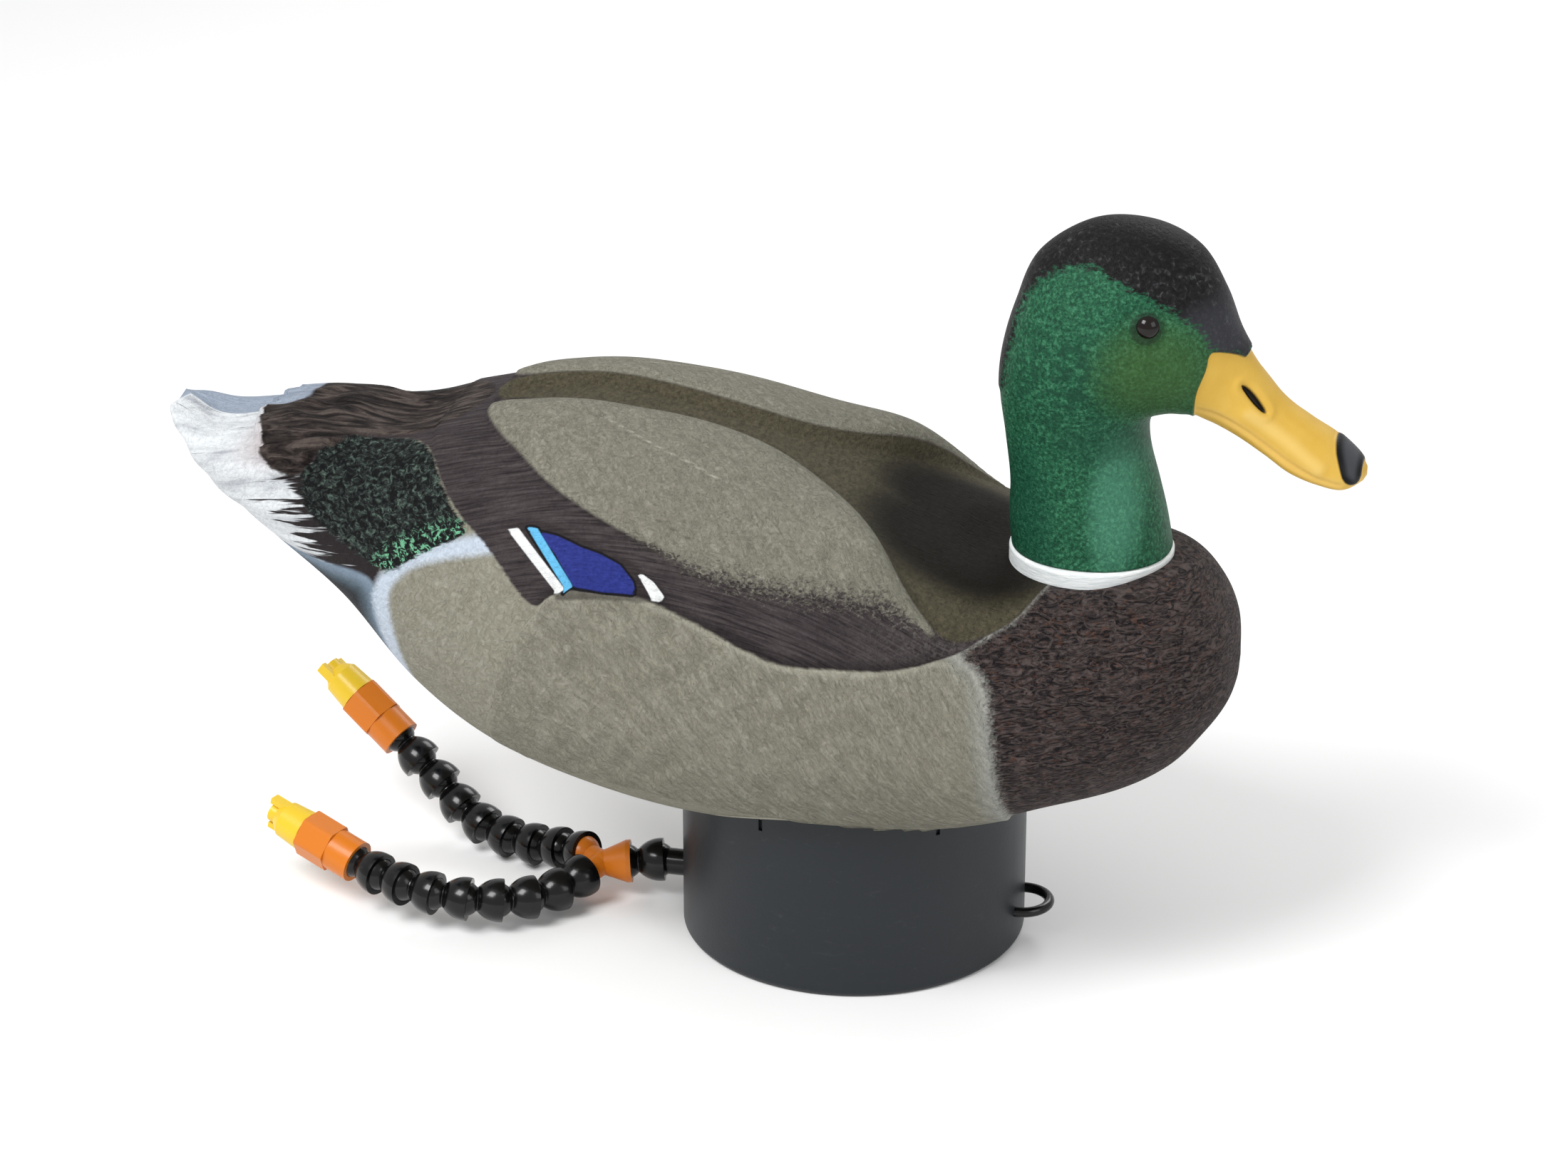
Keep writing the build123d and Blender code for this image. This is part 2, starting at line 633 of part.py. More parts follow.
def make_adapter():
    """Socket cup on a ball, then a hexagonal grip that holds the nozzle."""
    cup = rod(LINK_R, RIM_Z, ADAPTER_CUP_TOP)
    cup = chamfer(cup.edges().filter_by(GeomType.CIRCLE).sort_by(Axis.Z)[-1], 0.8)
    hexagon = RegularPolygon(ADAPTER_HEX_FLATS / 2, 6, major_radius=False)
    grip_start = ADAPTER_CUP_TOP - 1
    grip = Pos(0, 0, grip_start) * extrude(hexagon, ADAPTER_LENGTH + RIM_Z - grip_start)
    grip &= rod(ADAPTER_CORNER_R, 0, 40)
    adapter = cup + grip
    adapter -= Sphere(SOCKET_R)
    adapter -= rod(LINK_BORE_R, 0, 40)
    adapter -= rod(NOZZLE_PLUG_R + RUNNING_GAP, 11.5, 40)
    return adapter


def make_nozzle():
    """Jet nozzle: plug, tapered body, ring outlet and two finger tabs."""
    seat = ADAPTER_LENGTH + RIM_Z + 0.3
    plug = rod(NOZZLE_PLUG_R, 12.0, seat + 1)
    crown_r = NOZZLE_R - NOZZLE_TAPER
    shell = Pos(0, 0, seat + NOZZLE_LENGTH * 0.3) * Cone(NOZZLE_R, crown_r, NOZZLE_LENGTH * 0.6)
    crown = Pos(0, 0, seat + NOZZLE_LENGTH * 0.7) * Cone(crown_r, NECK_R, NOZZLE_LENGTH * 0.2)
    outlet = rod(JET_RIM_R, seat + 5, seat + NOZZLE_LENGTH)
    nozzle = plug + shell + crown + outlet
    for side, extra in ((1, 1.6), (-1, 0.2)):
        tab = Box(*FINGER_TAB, NOZZLE_LENGTH * 0.6 + extra)
        nozzle += Pos(0, side * 4.9, seat + NOZZLE_LENGTH * 0.7) * tab
    return nozzle - rod(JET_R, 0, 80)


def save_branch(side, start, aims):
    """Links, adapter and nozzle of one hose branch."""
    centres = chain(start, aims, LINK_PITCH)
    link = make_link()
    for number, (centre, heading_climb) in enumerate(zip(centres[:-2], aims[:-1]), start=1):
        save(f"{side}_link_{number}", along(centre, aim(*heading_climb)) * link)
    end = along(centres[-2], aim(*aims[-1]))
    save(f"{side}_adapter", end * make_adapter())
    save(f"{side}_nozzle", end * make_nozzle())


# ---- duck ----
def make_hull_shell(outer):
    shell = outer - body_cavity()
    shell -= rod(BASE_R + COLLAR_GAP + COLLAR_WALL, 0, COLLAR_TOP)
    return shell - rod(NECK_RING_R, NECK_RING_BOTTOM - 2, 200, NECK_X)


def make_hull_collar(outer):
    bore_r = BASE_R + COLLAR_GAP
    collar = rod(bore_r + COLLAR_WALL, 30, COLLAR_TOP) - rod(bore_r, 0, SEAT_Z)
    collar -= rod(bore_r, SEAT_Z + 3, 90)
    for rib in base_notches(NOTCH_WIDTH - 0.5, BASE_R - NOTCH_DEPTH + 0.4, bore_r + 0.5,
                            NOTCH_BOTTOM + 4, SEAT_Z):
        collar += rib
    return collar & outer


def make_neck_ring():
    ring = rod(NECK_RING_R, NECK_RING_BOTTOM, NECK_RING_TOP, NECK_X)
    ring = fillet(ring.edges().filter_by(GeomType.CIRCLE).sort_by(Axis.Z)[-1], 1.2)
    return ring - rod(NECK_BORE_R, 100, 200, NECK_X)


def make_head_shell():
    head = head_solid() - level_loft(HEAD_HOLLOW)
    head -= rod(NECK_BORE_R - RUNNING_GAP, 100, HEAD_BOTTOM + 8, NECK_X)
    for eye in eye_balls(EYE_R + 0.1):
        head -= eye
    return head


def eye_balls(radius):
    return [Pos(EYE_X, side * EYE_Y, EYE_Z) * Sphere(radius) for side in (-1, 1)]


def make_neck_plug():
    plug_r = NECK_BORE_R - RUNNING_GAP
    plug = rod(plug_r, NECK_RING_BOTTOM - 4, HEAD_BOTTOM + 8, NECK_X)
    plug += rod(plug_r + 1.2, NECK_RING_BOTTOM - 3.2, NECK_RING_BOTTOM - 0.2, NECK_X)
    return plug - rod(plug_r - 3, 100, 200, NECK_X)


def main():
    os.makedirs("parts", exist_ok=True)

    save("base_housing", make_base_housing())
    save("inlet_grille", make_inlet_grille())
    save("grille_screws", *make_grille_screws())
    save("base_lid", make_base_lid())
    save("lid_screws", *make_lid_screws())
    save("lid_seal", make_lid_seal())
    save("tie_loop", make_tie_loop())
    save("tie_loop_nuts", *make_loop_nuts())

    save("pump_volute", make_pump_volute())
    save("shaft_seal", make_shaft_seal())
    save("impeller", make_impeller())
    save("impeller_shaft", make_impeller_shaft())
    save("pump_motor", make_pump_motor())
    save("outlet_stub", make_outlet_stub())
    save("stub_nut", make_stub_nut())

    save("battery_cells", *make_battery_cells())
    save("battery_cradle", make_battery_cradle())
    save("battery_strap", make_battery_strap())
    save("control_board", make_control_board())
    save("board_parts", *make_board_parts())
    save("switch_body", make_switch_body())
    save("switch_rocker", make_switch_rocker())
    save("charge_jack", make_charge_jack())
    save("charge_cap", make_charge_cap())

    stub_ball = Vector(STUB_BALL_X, 0, OUTLET_Z)
    wye_socket = stub_ball + aim(*FEED_AIM) * LINK_PITCH
    crotch = wye_socket + aim(*FEED_AIM) * WYE_INLET
    save("feed_link", along(stub_ball, aim(*FEED_AIM)) * make_link())
    save("hose_wye", make_hose_wye(wye_socket, crotch))
    save_branch("near", crotch + aim(*NEAR_ARM_AIM) * WYE_ARM, NEAR_AIMS)
    save_branch("far", crotch + aim(*FAR_ARM_AIM) * WYE_ARM, FAR_AIMS)

    outer = body_solid()
    save("hull_shell", make_hull_shell(outer))
    save("hull_collar", make_hull_collar(outer))
    save("neck_ring", make_neck_ring())
    save("head_shell", make_head_shell())
    save("neck_plug", make_neck_plug())
    save("eyes", *eye_balls(EYE_R))


main()
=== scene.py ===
import json
from math import cos, pi, radians, sin

import bpy
import numpy as np
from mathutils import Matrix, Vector


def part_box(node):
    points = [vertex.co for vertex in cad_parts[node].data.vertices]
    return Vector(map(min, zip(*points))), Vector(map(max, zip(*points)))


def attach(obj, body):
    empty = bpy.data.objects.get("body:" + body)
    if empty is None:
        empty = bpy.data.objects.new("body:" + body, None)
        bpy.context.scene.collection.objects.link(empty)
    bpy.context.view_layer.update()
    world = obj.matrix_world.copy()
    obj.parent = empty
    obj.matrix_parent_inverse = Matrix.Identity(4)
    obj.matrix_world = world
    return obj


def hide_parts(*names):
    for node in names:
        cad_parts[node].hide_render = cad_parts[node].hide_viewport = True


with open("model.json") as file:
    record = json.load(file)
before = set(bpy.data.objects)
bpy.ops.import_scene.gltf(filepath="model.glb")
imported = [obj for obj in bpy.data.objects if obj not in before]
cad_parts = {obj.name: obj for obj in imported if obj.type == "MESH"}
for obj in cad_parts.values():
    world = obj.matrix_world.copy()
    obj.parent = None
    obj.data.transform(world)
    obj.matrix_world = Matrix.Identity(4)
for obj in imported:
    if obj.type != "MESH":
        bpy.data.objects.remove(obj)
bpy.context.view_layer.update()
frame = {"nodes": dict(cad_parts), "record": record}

# Looks of a painted mallard decoy on its water-jet base. Lengths in this file are millimetres,
# and MM turns them into Blender's metres. Colours are 0 to 255 screen values.
MM = 0.001

# ---- camera and floor ----
CAMERA_AZIMUTH = 13.0
CAMERA_PITCH = 24.0
CAMERA_AIM = (-24.9, 0.0, 121.7)
CAMERA_DISTANCE = 1543.0
CAMERA_LENS = 105.0
FLOOR_SIZE = 9000.0

# ---- body form ----
# Body stations: x, keel height, back height, half width, height of the widest point
# as a share of the height from keel to back.
BODY = [
    (129.5, 105, 119, 6, 0.50),
    (127, 97, 127, 20, 0.50),
    (121, 88, 135, 33, 0.50),
    (111, 77, 140, 46, 0.50),
    (96, 69, 142, 58, 0.50),
    (74, 63, 143, 70, 0.50),
    (45, 55, 147, 80, 0.50),
    (5, 49, 167, 84, 0.48),
    (-40, 46, 183, 80, 0.45),
    (-80, 50, 189, 71, 0.44),
    (-118, 60, 186, 58, 0.45),
    (-148, 78, 180, 46, 0.50),
    (-173, 106, 175, 38, 0.58),
    (-198, 128, 171, 34, 0.65),
    (-220, 147, 167, 27, 0.70),
    (-238, 167, 173, 9, 0.70),
]
BODY_POWERS = (2.0, 2.8)
BODY_ROWS = 400
BODY_FINE_COLUMNS = 84
BODY_COARSE_COLUMNS = 38
FINE_SHARE = 0.55

# The skin climbs to the neck ring: how much of the ring shows, how much less in front, and how
# far from the ring the climb starts.
RING_SHOWN = 5.6
RING_FRONT_CLIMB = 3.4
RING_SWELL_REACH = 22.0

# Head stations, fanned from the neck to the tip of the bill: crown side x and z,
# throat side x and z, half width, share of the widest point from the throat side.
HEAD = [
    (53, 149.3, 106, 149.3, 25.6, 0.50),
    (52, 160, 104, 160, 24, 0.50),
    (52, 172, 101, 172, 22.5, 0.50),
    (50, 188, 98, 183, 22, 0.50),
    (48, 203, 97, 191, 23, 0.50),
    (49, 217, 98, 196, 24.5, 0.52),
    (53, 232.5, 100, 198, 25.5, 0.50),
    (60, 249, 103, 199, 26, 0.46),
    (77, 260.5, 106, 199.5, 25, 0.42),
    (96, 261.5, 109, 199.5, 23, 0.38),
    (111, 254.5, 112, 199.5, 20.5, 0.36),
    (120, 241, 116, 197.5, 16.5, 0.36),
    (125.5, 227, 120.5, 195.5, 13.5, 0.34),
    (132, 216, 127.5, 192, 12, 0.30),
    (141, 205.5, 136, 187, 12, 0.28),
    (150, 199, 144, 182, 13, 0.28),
    (158, 194, 153, 179, 13.5, 0.30),
    (165, 188, 161.5, 177.7, 11.5, 0.34),
    (168.6, 183.8, 167.6, 179.7, 3.5, 0.50),
]
HEAD_POWERS = (2.2, 2.1)
HEAD_ROWS = 330
HEAD_COLUMNS = 76

# ---- painted areas of the body ----
# Each outline is on the skin of one side: distance along X, and distance round the side
# measured down from the middle of the back. Both sides are alike.
SPREAD = -30
PANEL = [(-114, 32), (-122, 20), (-122, 13), (-112, 12), (-75, 13), (-55, 11), (-37, 11), (-20, 14),
         (-2, 25), (14, 41), (28, 56), (43, 66), (28, 65), (11, 73), (-15, 80), (-35, 81), (-53, 75),
         (-78, 64), (-94, 53), (-106, 40)]
MANTLE = [(-124, SPREAD), (-124, 8), (-112, 12), (-75, 13), (-55, 11), (-37, 11), (-20, 14),
          (-2, 25), (14, 41), (28, 56), (43, 66), (54, 58), (62, 48), (68, 32), (71, 18), (72, SPREAD)]
DARK = [(-206, SPREAD), (-206, 9), (-199, 22), (-198, 33), (-183, 40), (-178, 30), (-166, 20),
        (-141, 26), (-127, 56), (-111, 73), (-98, 92), (-92, 96), (-87, 91), (-72, 89), (-57, 90),
        (-33, 96), (-14, 100), (0, 98), (27, 86), (48, 67), (54, 58), (62, 48), (68, 32),
        (71, 18), (72, SPREAD)]
WING = [(-141, SPREAD), (-141, 26), (-127, 56), (-111, 73), (-98, 92), (-92, 96), (-80, 110),
        (48, 110), (54, 58), (72, SPREAD)]
FLANK = [(-92, 96), (-87, 91), (-72, 89), (-57, 90), (-33, 96), (-14, 100), (0, 98), (27, 86),
         (48, 67), (60, 89), (63, 119), (60, 170), (-120, 170), (-110, 120)]
RUMP = [(-184, 42), (-177, 27), (-166, 19), (-141, 26), (-127, 56), (-117, 68), (-137, 70),
        (-149, 76), (-160, 68), (-170, 60), (-180, 52)]
COVERTS = [(-206, SPREAD), (-206, 9), (-199, 22), (-198, 33), (-183, 40), (-178, 30), (-166, 20),
           (-141, 22), (-128, 14), (-118, SPREAD)]
UNDERTAIL = [(-250, 55), (-200, 66), (-181, 70), (-160, 73), (-154, 80), (-154, 100), (-150, 190),
             (-250, 190)]
TAIL = [(-260, SPREAD), (-206, SPREAD), (-199, 22), (-183, 40), (-180, 52), (-170, 60), (-154, 74),
        (-181, 70), (-200, 66), (-260, 60)]
BREAST = [(47, 68), (54, 58), (62, 48), (68, 32), (71, 18), (72, SPREAD), (180, SPREAD), (180, 260),
          (65, 260), (64, 150), (62, 102), (60, 89), (58, 74), (53, 70)]
WHITE_REAR = [(-105, 68), (-101, 68), (-82, 91), (-86, 91)]
CYAN = [(-98, 68), (-94, 69), (-80, 89), (-82, 91)]
BLUE = [(-94, 70), (-87, 72), (-78, 76), (-71, 78), (-64, 81), (-59, 86), (-58, 90), (-68, 90),
        (-80, 89), (-87, 78)]
WHITE_FRONT = [(-58, 83), (-56, 83), (-52, 85), (-48, 89), (-49, 91), (-52, 91), (-55, 87)]
SPECULUM = [(-104, 66), (-92, 67), (-78, 73), (-62, 79), (-50, 85), (-46, 90), (-56, 92), (-84, 93)]
# Open lines, in the same measures.
PALE_LINE = [(-106, 72), (-128, 71), (-142, 71), (-151, 77), (-154, 84), (-153, 99), (-150, 130),
             (-149, 190)]
LIGHT_QUILL = [(-79, 26), (-60, 36), (-36, 44)]
DARK_QUILL = [(-55, 64), (-41, 69)]

# ---- painted areas of the head, as seen from the side: x and z ----
CAP = [(40, 196), (50, 203), (51.5, 214), (54, 225), (55, 232), (59, 240), (65, 247), (75, 251),
       (82, 251), (89, 247), (97, 244), (105, 240), (111.5, 235.5), (116, 231), (118, 226),
       (124.8, 222.5), (129, 219.5), (150, 240), (120, 290), (40, 290)]
BILL = [(112, 190), (113.6, 204), (114.2, 211.6), (115.7, 215.8), (117.2, 219.7), (117.6, 224),
        (119.2, 225), (124.8, 222.5), (129, 219.5), (132, 226), (180, 230), (180, 160), (113, 160)]
NAIL = [(157.5, 198), (158.5, 192), (160.5, 187), (162, 183), (164.5, 181), (166.4, 181),
        (167.4, 184), (166.8, 198)]
NOSTRIL = [(127.8, 212.6), (130, 211.6), (133.2, 208.2), (136.5, 203.4), (134.8, 204), (131.4, 207.4)]
RIDGE = [(131, 203), (138, 198.5), (146, 193), (154, 187)]
LIP_LINE = [(113, 205), (120, 203), (129, 198), (138, 192), (146, 187), (154, 183.5), (161, 181.5)]
HEAD_BOTTOM = HEAD[0][1]

# The skin is opened for the collar from below, turned over, and for the neck ring from above.
HOLE_PLAY = 0.05
COLLAR_HOLE_LEVEL = -100
RING_HOLE_LEVEL = 125

# The head sits on its CAD plug in a blind socket.
HEAD_SOCKET_R = 22.3
HEAD_SOCKET_DEPTH = 8.0

# ---- heights of the moulded feathers and edges ----
PANEL_STEP = 1.0
VALLEY_DEPTH = 3.6
VALLEY_EASE_IN_FRONT = 3.0
WING_SINK = 1.8
FLANK_BULGE = 1.4
FLANK_BULGE_REACH = 14.0
WING_STEP = 1.2
COVERT_STEP = 2.4
COVERT_TEETH = 1.1
SHOULDER_HUMP = 4.6
BREAST_HUMP = 2.0
RUMP_DIP = 7.5
FOLD_HEIGHT = 0.55
TAIL_BARBS = 0.35
TAIL_NOTCH = 4.5
TAIL_NOTCH_REACH = 5.0
BILL_SEAM = 0.7
CAP_STEP = 0.5
NOSTRIL_DEPTH = 1.7
NOSTRIL_RIM = 0.55
NAIL_STEP = 0.5
RIDGE_HEIGHT = 0.6
LIP_GROOVE = 0.6
EYE_RIM = 0.55
EYE_RIM_R = 4.6
EYE_SOCKET = 0.9
EYE_SOCKET_R = 7.2
CHEEK_HUMP = 1.2


# ---------------------------------------------------------------- shapes ----

def spline(where, knots, values):
    """Smooth curve through a row of values at each knot."""
    knots = np.asarray(knots, float)
    values = np.asarray(values, float)
    gap = np.diff(knots)
    rise = np.diff(values, axis=0) / gap[:, None]
    slope = np.empty_like(values)
    slope[1:-1] = (rise[:-1] * gap[1:, None] + rise[1:] * gap[:-1, None]) / (gap[:-1] + gap[1:])[:, None]
    slope[0] = 1.5 * rise[0] - 0.5 * slope[1]
    slope[-1] = 1.5 * rise[-1] - 0.5 * slope[-2]
    first = np.clip(np.searchsorted(knots, where, side="right") - 1, 0, len(knots) - 2)
    width = gap[first][:, None]
    u = (np.asarray(where) - knots[first])[:, None] / width
    return ((2 * u**3 - 3 * u**2 + 1) * values[first] + (u**3 - 2 * u**2 + u) * width * slope[first]
            + (3 * u**2 - 2 * u**3) * values[first + 1] + (u**3 - u**2) * width * slope[first + 1])


def egg(sections, angles, powers):
    """Points of egg-shaped sections. A section is x and z at its low end, x and z at its high
    end, half width and widest share. Angles run from -90 at the low end to 90 at the high end."""
    low_x, low_z, high_x, high_z, half, widest = (sections[..., k] for k in range(6))
    up = np.sin(angles)
    power = np.where(up >= 0, powers[1], powers[0])
    side = np.maximum(half, 0.5) * np.abs(np.cos(angles)) ** (2 / power)
    climb = np.sign(up) * np.abs(up) ** (2 / power)
    share = np.where(up >= 0, widest + (1 - widest) * climb, widest + widest * climb)
    return np.stack([low_x + (high_x - low_x) * share, side, low_z + (high_z - low_z) * share], -1)


def skin(stations, powers, rows, shares):
    """Grid of points over a row of stations, evenly spaced along it, and round each side at
    the given shares of the way from the high end to the low end. Returns the points, the
    distance of each from the high end, measured round the side, and each point's side."""
    knots = np.linspace(0, 1, len(stations))
    fine = np.linspace(0, 1, 1600)
    quarter = np.linspace(pi / 2, -pi / 2, 9)
    trial = egg(spline(fine, knots, stations)[:, None, :], quarter[None, :], powers)
    travel = np.linalg.norm(np.diff(trial, axis=0), axis=2).mean(axis=1)
    travel = np.concatenate([[0], np.cumsum(travel)])
    at = np.interp(np.linspace(0, travel[-1], rows), travel, fine)
    sections = spline(at, knots, stations)
    angles = np.linspace(pi / 2, -pi / 2, 401)
    outline = egg(sections[:, None, :], angles[None, :], powers)
    steps = np.linalg.norm(np.diff(outline, axis=1), axis=2)
    reach = np.concatenate([np.zeros((rows, 1)), np.cumsum(steps, axis=1)], axis=1)
    half = np.array([[np.interp(s * r[-1], r, angles) for s in shares] for r in reach])
    near = egg(sections[:, None, :], half, powers)
    far = near[:, -2:0:-1].copy()
    near[..., 1] *= -1
    distance = reach[:, -1:] * shares[None, :]
    points = np.concatenate([near, far], axis=1)
    round_side = np.concatenate([distance, distance[:, -2:0:-1]], axis=1)
    side = np.concatenate([-np.ones(len(shares)), np.ones(len(shares) - 2)])
    return points, round_side, np.broadcast_to(side, round_side.shape)


def outward(points):
    """Unit normals of a grid that closes on itself round its second axis."""
    along = np.gradient(points, axis=0)
    around = np.roll(points, -1, axis=1) - np.roll(points, 1, axis=1)
    normal = np.cross(along, around)
    normal /= np.linalg.norm(normal, axis=2, keepdims=True) + 1e-9
    middle = points.mean(axis=1, keepdims=True)
    if np.mean((normal * (points - middle)).sum(axis=2)) < 0:
        normal = -normal
    return normal


def rounded(outline, times=2, closed=True):
    """Outline with its corners cut, twice by default."""
    points = np.asarray(outline, float)
    for _ in range(times):
        following = np.roll(points, -1, axis=0)
        cut = np.stack([points * 0.75 + following * 0.25, points * 0.25 + following * 0.75], 1)
        if closed:
            points = cut.reshape(-1, 2)
        else:
            points = np.concatenate([points[:1], cut[:-1].reshape(-1, 2), points[-1:]])
    return points


def line_distance(u, v, line, closed):
    """Distance of each point (u, v) from an outline or open line."""
    line = np.asarray(line, float)
    ends = np.roll(line, -1, axis=0) if closed else line[1:]
    nearest = np.full(u.shape, 1e9)
    for (u0, v0), (u1, v1) in zip(line, ends):
        du, dv = u1 - u0, v1 - v0
        share = np.clip(((u - u0) * du + (v - v0) * dv) / max(du * du + dv * dv, 1e-9), 0, 1)
        nearest = np.minimum(nearest, np.hypot(u - u0 - share * du, v - v0 - share * dv))
    return nearest


def depth_inside(u, v, outline):
    """Distance from an outline's edge, positive inside it."""
    outline = np.asarray(outline, float)
    inside = np.zeros(u.shape, bool)
    for (u0, v0), (u1, v1) in zip(outline, np.roll(outline, -1, axis=0)):
        crosses = (v0 > v) != (v1 > v)
        inside ^= crosses & (u < (u1 - u0) * (v - v0) / (v1 - v0 + 1e-12) + u0)
    distance = line_distance(u, v, outline, True)
    return np.where(inside, distance, -distance)


def rise(value, low, high):
    """Smooth step from 0 at low to 1 at high."""
    t = np.clip((value - low) / (high - low), 0, 1)
    return t * t * (3 - 2 * t)


def hump(u, v, centre, reach):
    """Smooth hill, 1 at its centre and nearly 0 at its reach in u and v."""
    return np.exp(-2 * (((u - centre[0]) / reach[0]) ** 2 + ((v - centre[1]) / reach[1]) ** 2))


def closed_grid_faces(rows, columns):
    index = np.arange(rows * columns).reshape(rows, columns)
    following = np.roll(index, -1, axis=1)
    return np.stack([index[:-1], index[1:], following[1:], following[:-1]], -1).reshape(-1, 4)


def make_mesh(name, points, faces, layers):
    """Mesh object in metres from points in millimetres, with one float layer per name."""
    mesh = bpy.data.meshes.new(name)
    mesh.from_pydata((np.asarray(points) * MM).tolist(), [], [tuple(f) for f in faces])
    for layer, values in layers.items():
        made = mesh.attributes.new(layer, "FLOAT", "POINT")
        made.data.foreach_set("value", np.asarray(values, np.float32).ravel())
    mesh.shade_smooth()
    mesh.validate()
    mesh.update()
    made_object = bpy.data.objects.new(name, mesh)
    bpy.context.scene.collection.objects.link(made_object)
    return made_object


def loops_of(faces):
    """Closed loops of points along the open edges of a face list."""
    edges = {}
    for face in faces:
        for a, b in zip(face, face[1:] + face[:1]):
            edges[(a, b)] = True
    follow = {b: a for a, b in edges if (b, a) not in edges}
    loops = []
    while follow:
        start, at = next(iter(follow.items()))
        loop = [start]
        del follow[start]
        while at != start:
            loop.append(at)
            at = follow.pop(at)
        loops.append(loop)
    return loops


# ------------------------------------------------------------- hull and head ----

def body_relief(along, girth, layers):
    """How far each point of the body stands out from its smooth form."""
    panel, dark, mantle, flank = (layers[k] for k in ("panel", "dark", "mantle", "flank"))
    out = PANEL_STEP * rise(panel, 0, 6)
    valley = VALLEY_DEPTH - VALLEY_EASE_IN_FRONT * rise(along, 15, 45)
    out -= valley * rise(mantle, -0.5, 5)
    wing_only = rise(dark, -0.6, 1.2) * rise(-panel, -0.8, 1.2) * rise(-mantle, -0.8, 1.2)
    out -= WING_SINK * wing_only * rise(along, -150, -125)
    out += FLANK_BULGE * rise(flank, -1.2, 0.6) * np.exp(-np.maximum(flank, 0) / FLANK_BULGE_REACH)
    out += WING_STEP * rise(layers["wing"], -1.0, 1.0) * rise(-along, 60, 100)
    ragged = layers["coverts"] + 2.2 * np.sin(girth * 0.9) * rise(-along, 150, 190)
    out += COVERT_STEP * rise(ragged, -0.8, 1.0) * rise(-along, 120, 190)
    teeth = np.sin(along / 3.1 + 2 * np.sin(girth / 4))
    out += COVERT_TEETH * teeth * hump(along, girth, (-186, 0), (24, 22))
    out += SHOULDER_HUMP * hump(along, girth, (8, 46), (29, 30)) * rise(panel, -14, 6)
    out += BREAST_HUMP * hump(along, girth, (110, 0), (13, 34))
    out -= RUMP_DIP * hump(along, girth, (-153, 0), (26, 36))
    drift = 5 * np.sin(girth / 17 + along / 29) + 3 * np.sin(along / 11 - girth / 23)
    folds = np.sin((along + 0.8 * girth + drift) / 2.6)
    folds += 0.7 * np.sin((along * 0.6 + 1.3 * girth - 1.6 * drift) / 3.7)
    below_edge = rise(flank, 0.5, 6) * rise(-flank, -50, -12)
    out += FOLD_HEIGHT * folds * below_edge * rise(along, -100, -80) * rise(-along, -40, 0)
    barbs = np.sin(girth * 0.42 + 1.6 * np.sin(along / 13))
    out += TAIL_BARBS * barbs * rise(layers["tail"], -1, 6)
    return out


def body_shares():
    """Places round one side of the body, close together above the flank."""
    fine = np.linspace(0, FINE_SHARE, BODY_FINE_COLUMNS)
    coarse = np.linspace(FINE_SHARE, 1, BODY_COARSE_COLUMNS + 1)[1:]
    return np.concatenate([fine, coarse])


def body_layers(along, girth):
    """Distance inside each painted area, in millimetres."""
    soft = {"panel": PANEL, "mantle": MANTLE, "dark": DARK, "wing": WING, "flank": FLANK,
            "rump": RUMP, "coverts": COVERTS, "undertail": UNDERTAIL, "tail": TAIL,
            "breast": BREAST}
    crisp = {"white_rear": WHITE_REAR, "cyan": CYAN, "blue": BLUE, "white_front": WHITE_FRONT,
             "speculum": SPECULUM}
    lines = {"pale_line": PALE_LINE, "light_quill": LIGHT_QUILL, "dark_quill": DARK_QUILL}
    layers = {name: depth_inside(along, girth, rounded(area)) for name, area in soft.items()}
    for name, area in crisp.items():
        layers[name] = depth_inside(along, girth, area)
    for name, line in lines.items():
        layers[name] = -line_distance(along, girth, rounded(line, closed=False), False)
    return layers


def cut_round_hole(points, normals, faces, centre, radius, level, floor_z):
    """Removes the faces inside an upright cylinder and above a level, slides the edge along the
    skin to the cylinder and closes the opening with a pocket that ends at floor_z."""
    reach = np.hypot(points[:, 0] - centre[0], points[:, 1] - centre[1])
    inside = (reach < radius) & (points[:, 2] > level)
    kept = [f for f in faces if not inside[list(f)].all()]
    loop = max(loops_of(kept), key=lambda l: inside[l].mean())
    turn = np.arctan2(points[loop, 1] - centre[1], points[loop, 0] - centre[0])
    points = points.copy()
    shift = np.stack([centre[0] + radius * np.cos(turn), centre[1] + radius * np.sin(turn)], 1)
    shift -= points[loop, :2]
    tilt = normals[loop]
    points[loop, 2] -= (tilt[:, :2] * shift).sum(axis=1) / tilt[:, 2]
    points[loop, :2] += shift
    start = len(points)
    pocket = points[loop].copy()
    pocket[:, 2] = floor_z
    hub = np.array([[centre[0], centre[1], floor_z]])
    points = np.concatenate([points, pocket, hub])
    count = len(loop)
    for k in range(count):
        after = (k + 1) % count
        kept.append((loop[k], loop[after], start + after, start + k))
        kept.append((start + k, start + after, start + count))
    return points, kept


def neck_ring_place():
    """The ring's middle along the object, its radius, bottom and top, in millimetres."""
    low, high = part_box("neck_ring")
    return (high.x + low.x) / 2 / MM, (high.y - low.y) / 2 / MM, low.z / MM, high.z / MM


def neck_swell(points):
    """Climb of the skin to the neck ring, so that only the ring's upper part shows."""
    neck_x, ring_r, _, ring_top = neck_ring_place()
    away = np.hypot(points[..., 0] - neck_x, points[..., 1]) - ring_r
    climb = RING_FRONT_CLIMB * rise(points[..., 0], neck_x, neck_x + ring_r)
    level = ring_top - RING_SHOWN + climb
    near = rise(-away, -RING_SWELL_REACH, 0) * rise(points[..., 2], 118, 136)
    return near * (level - points[..., 2])


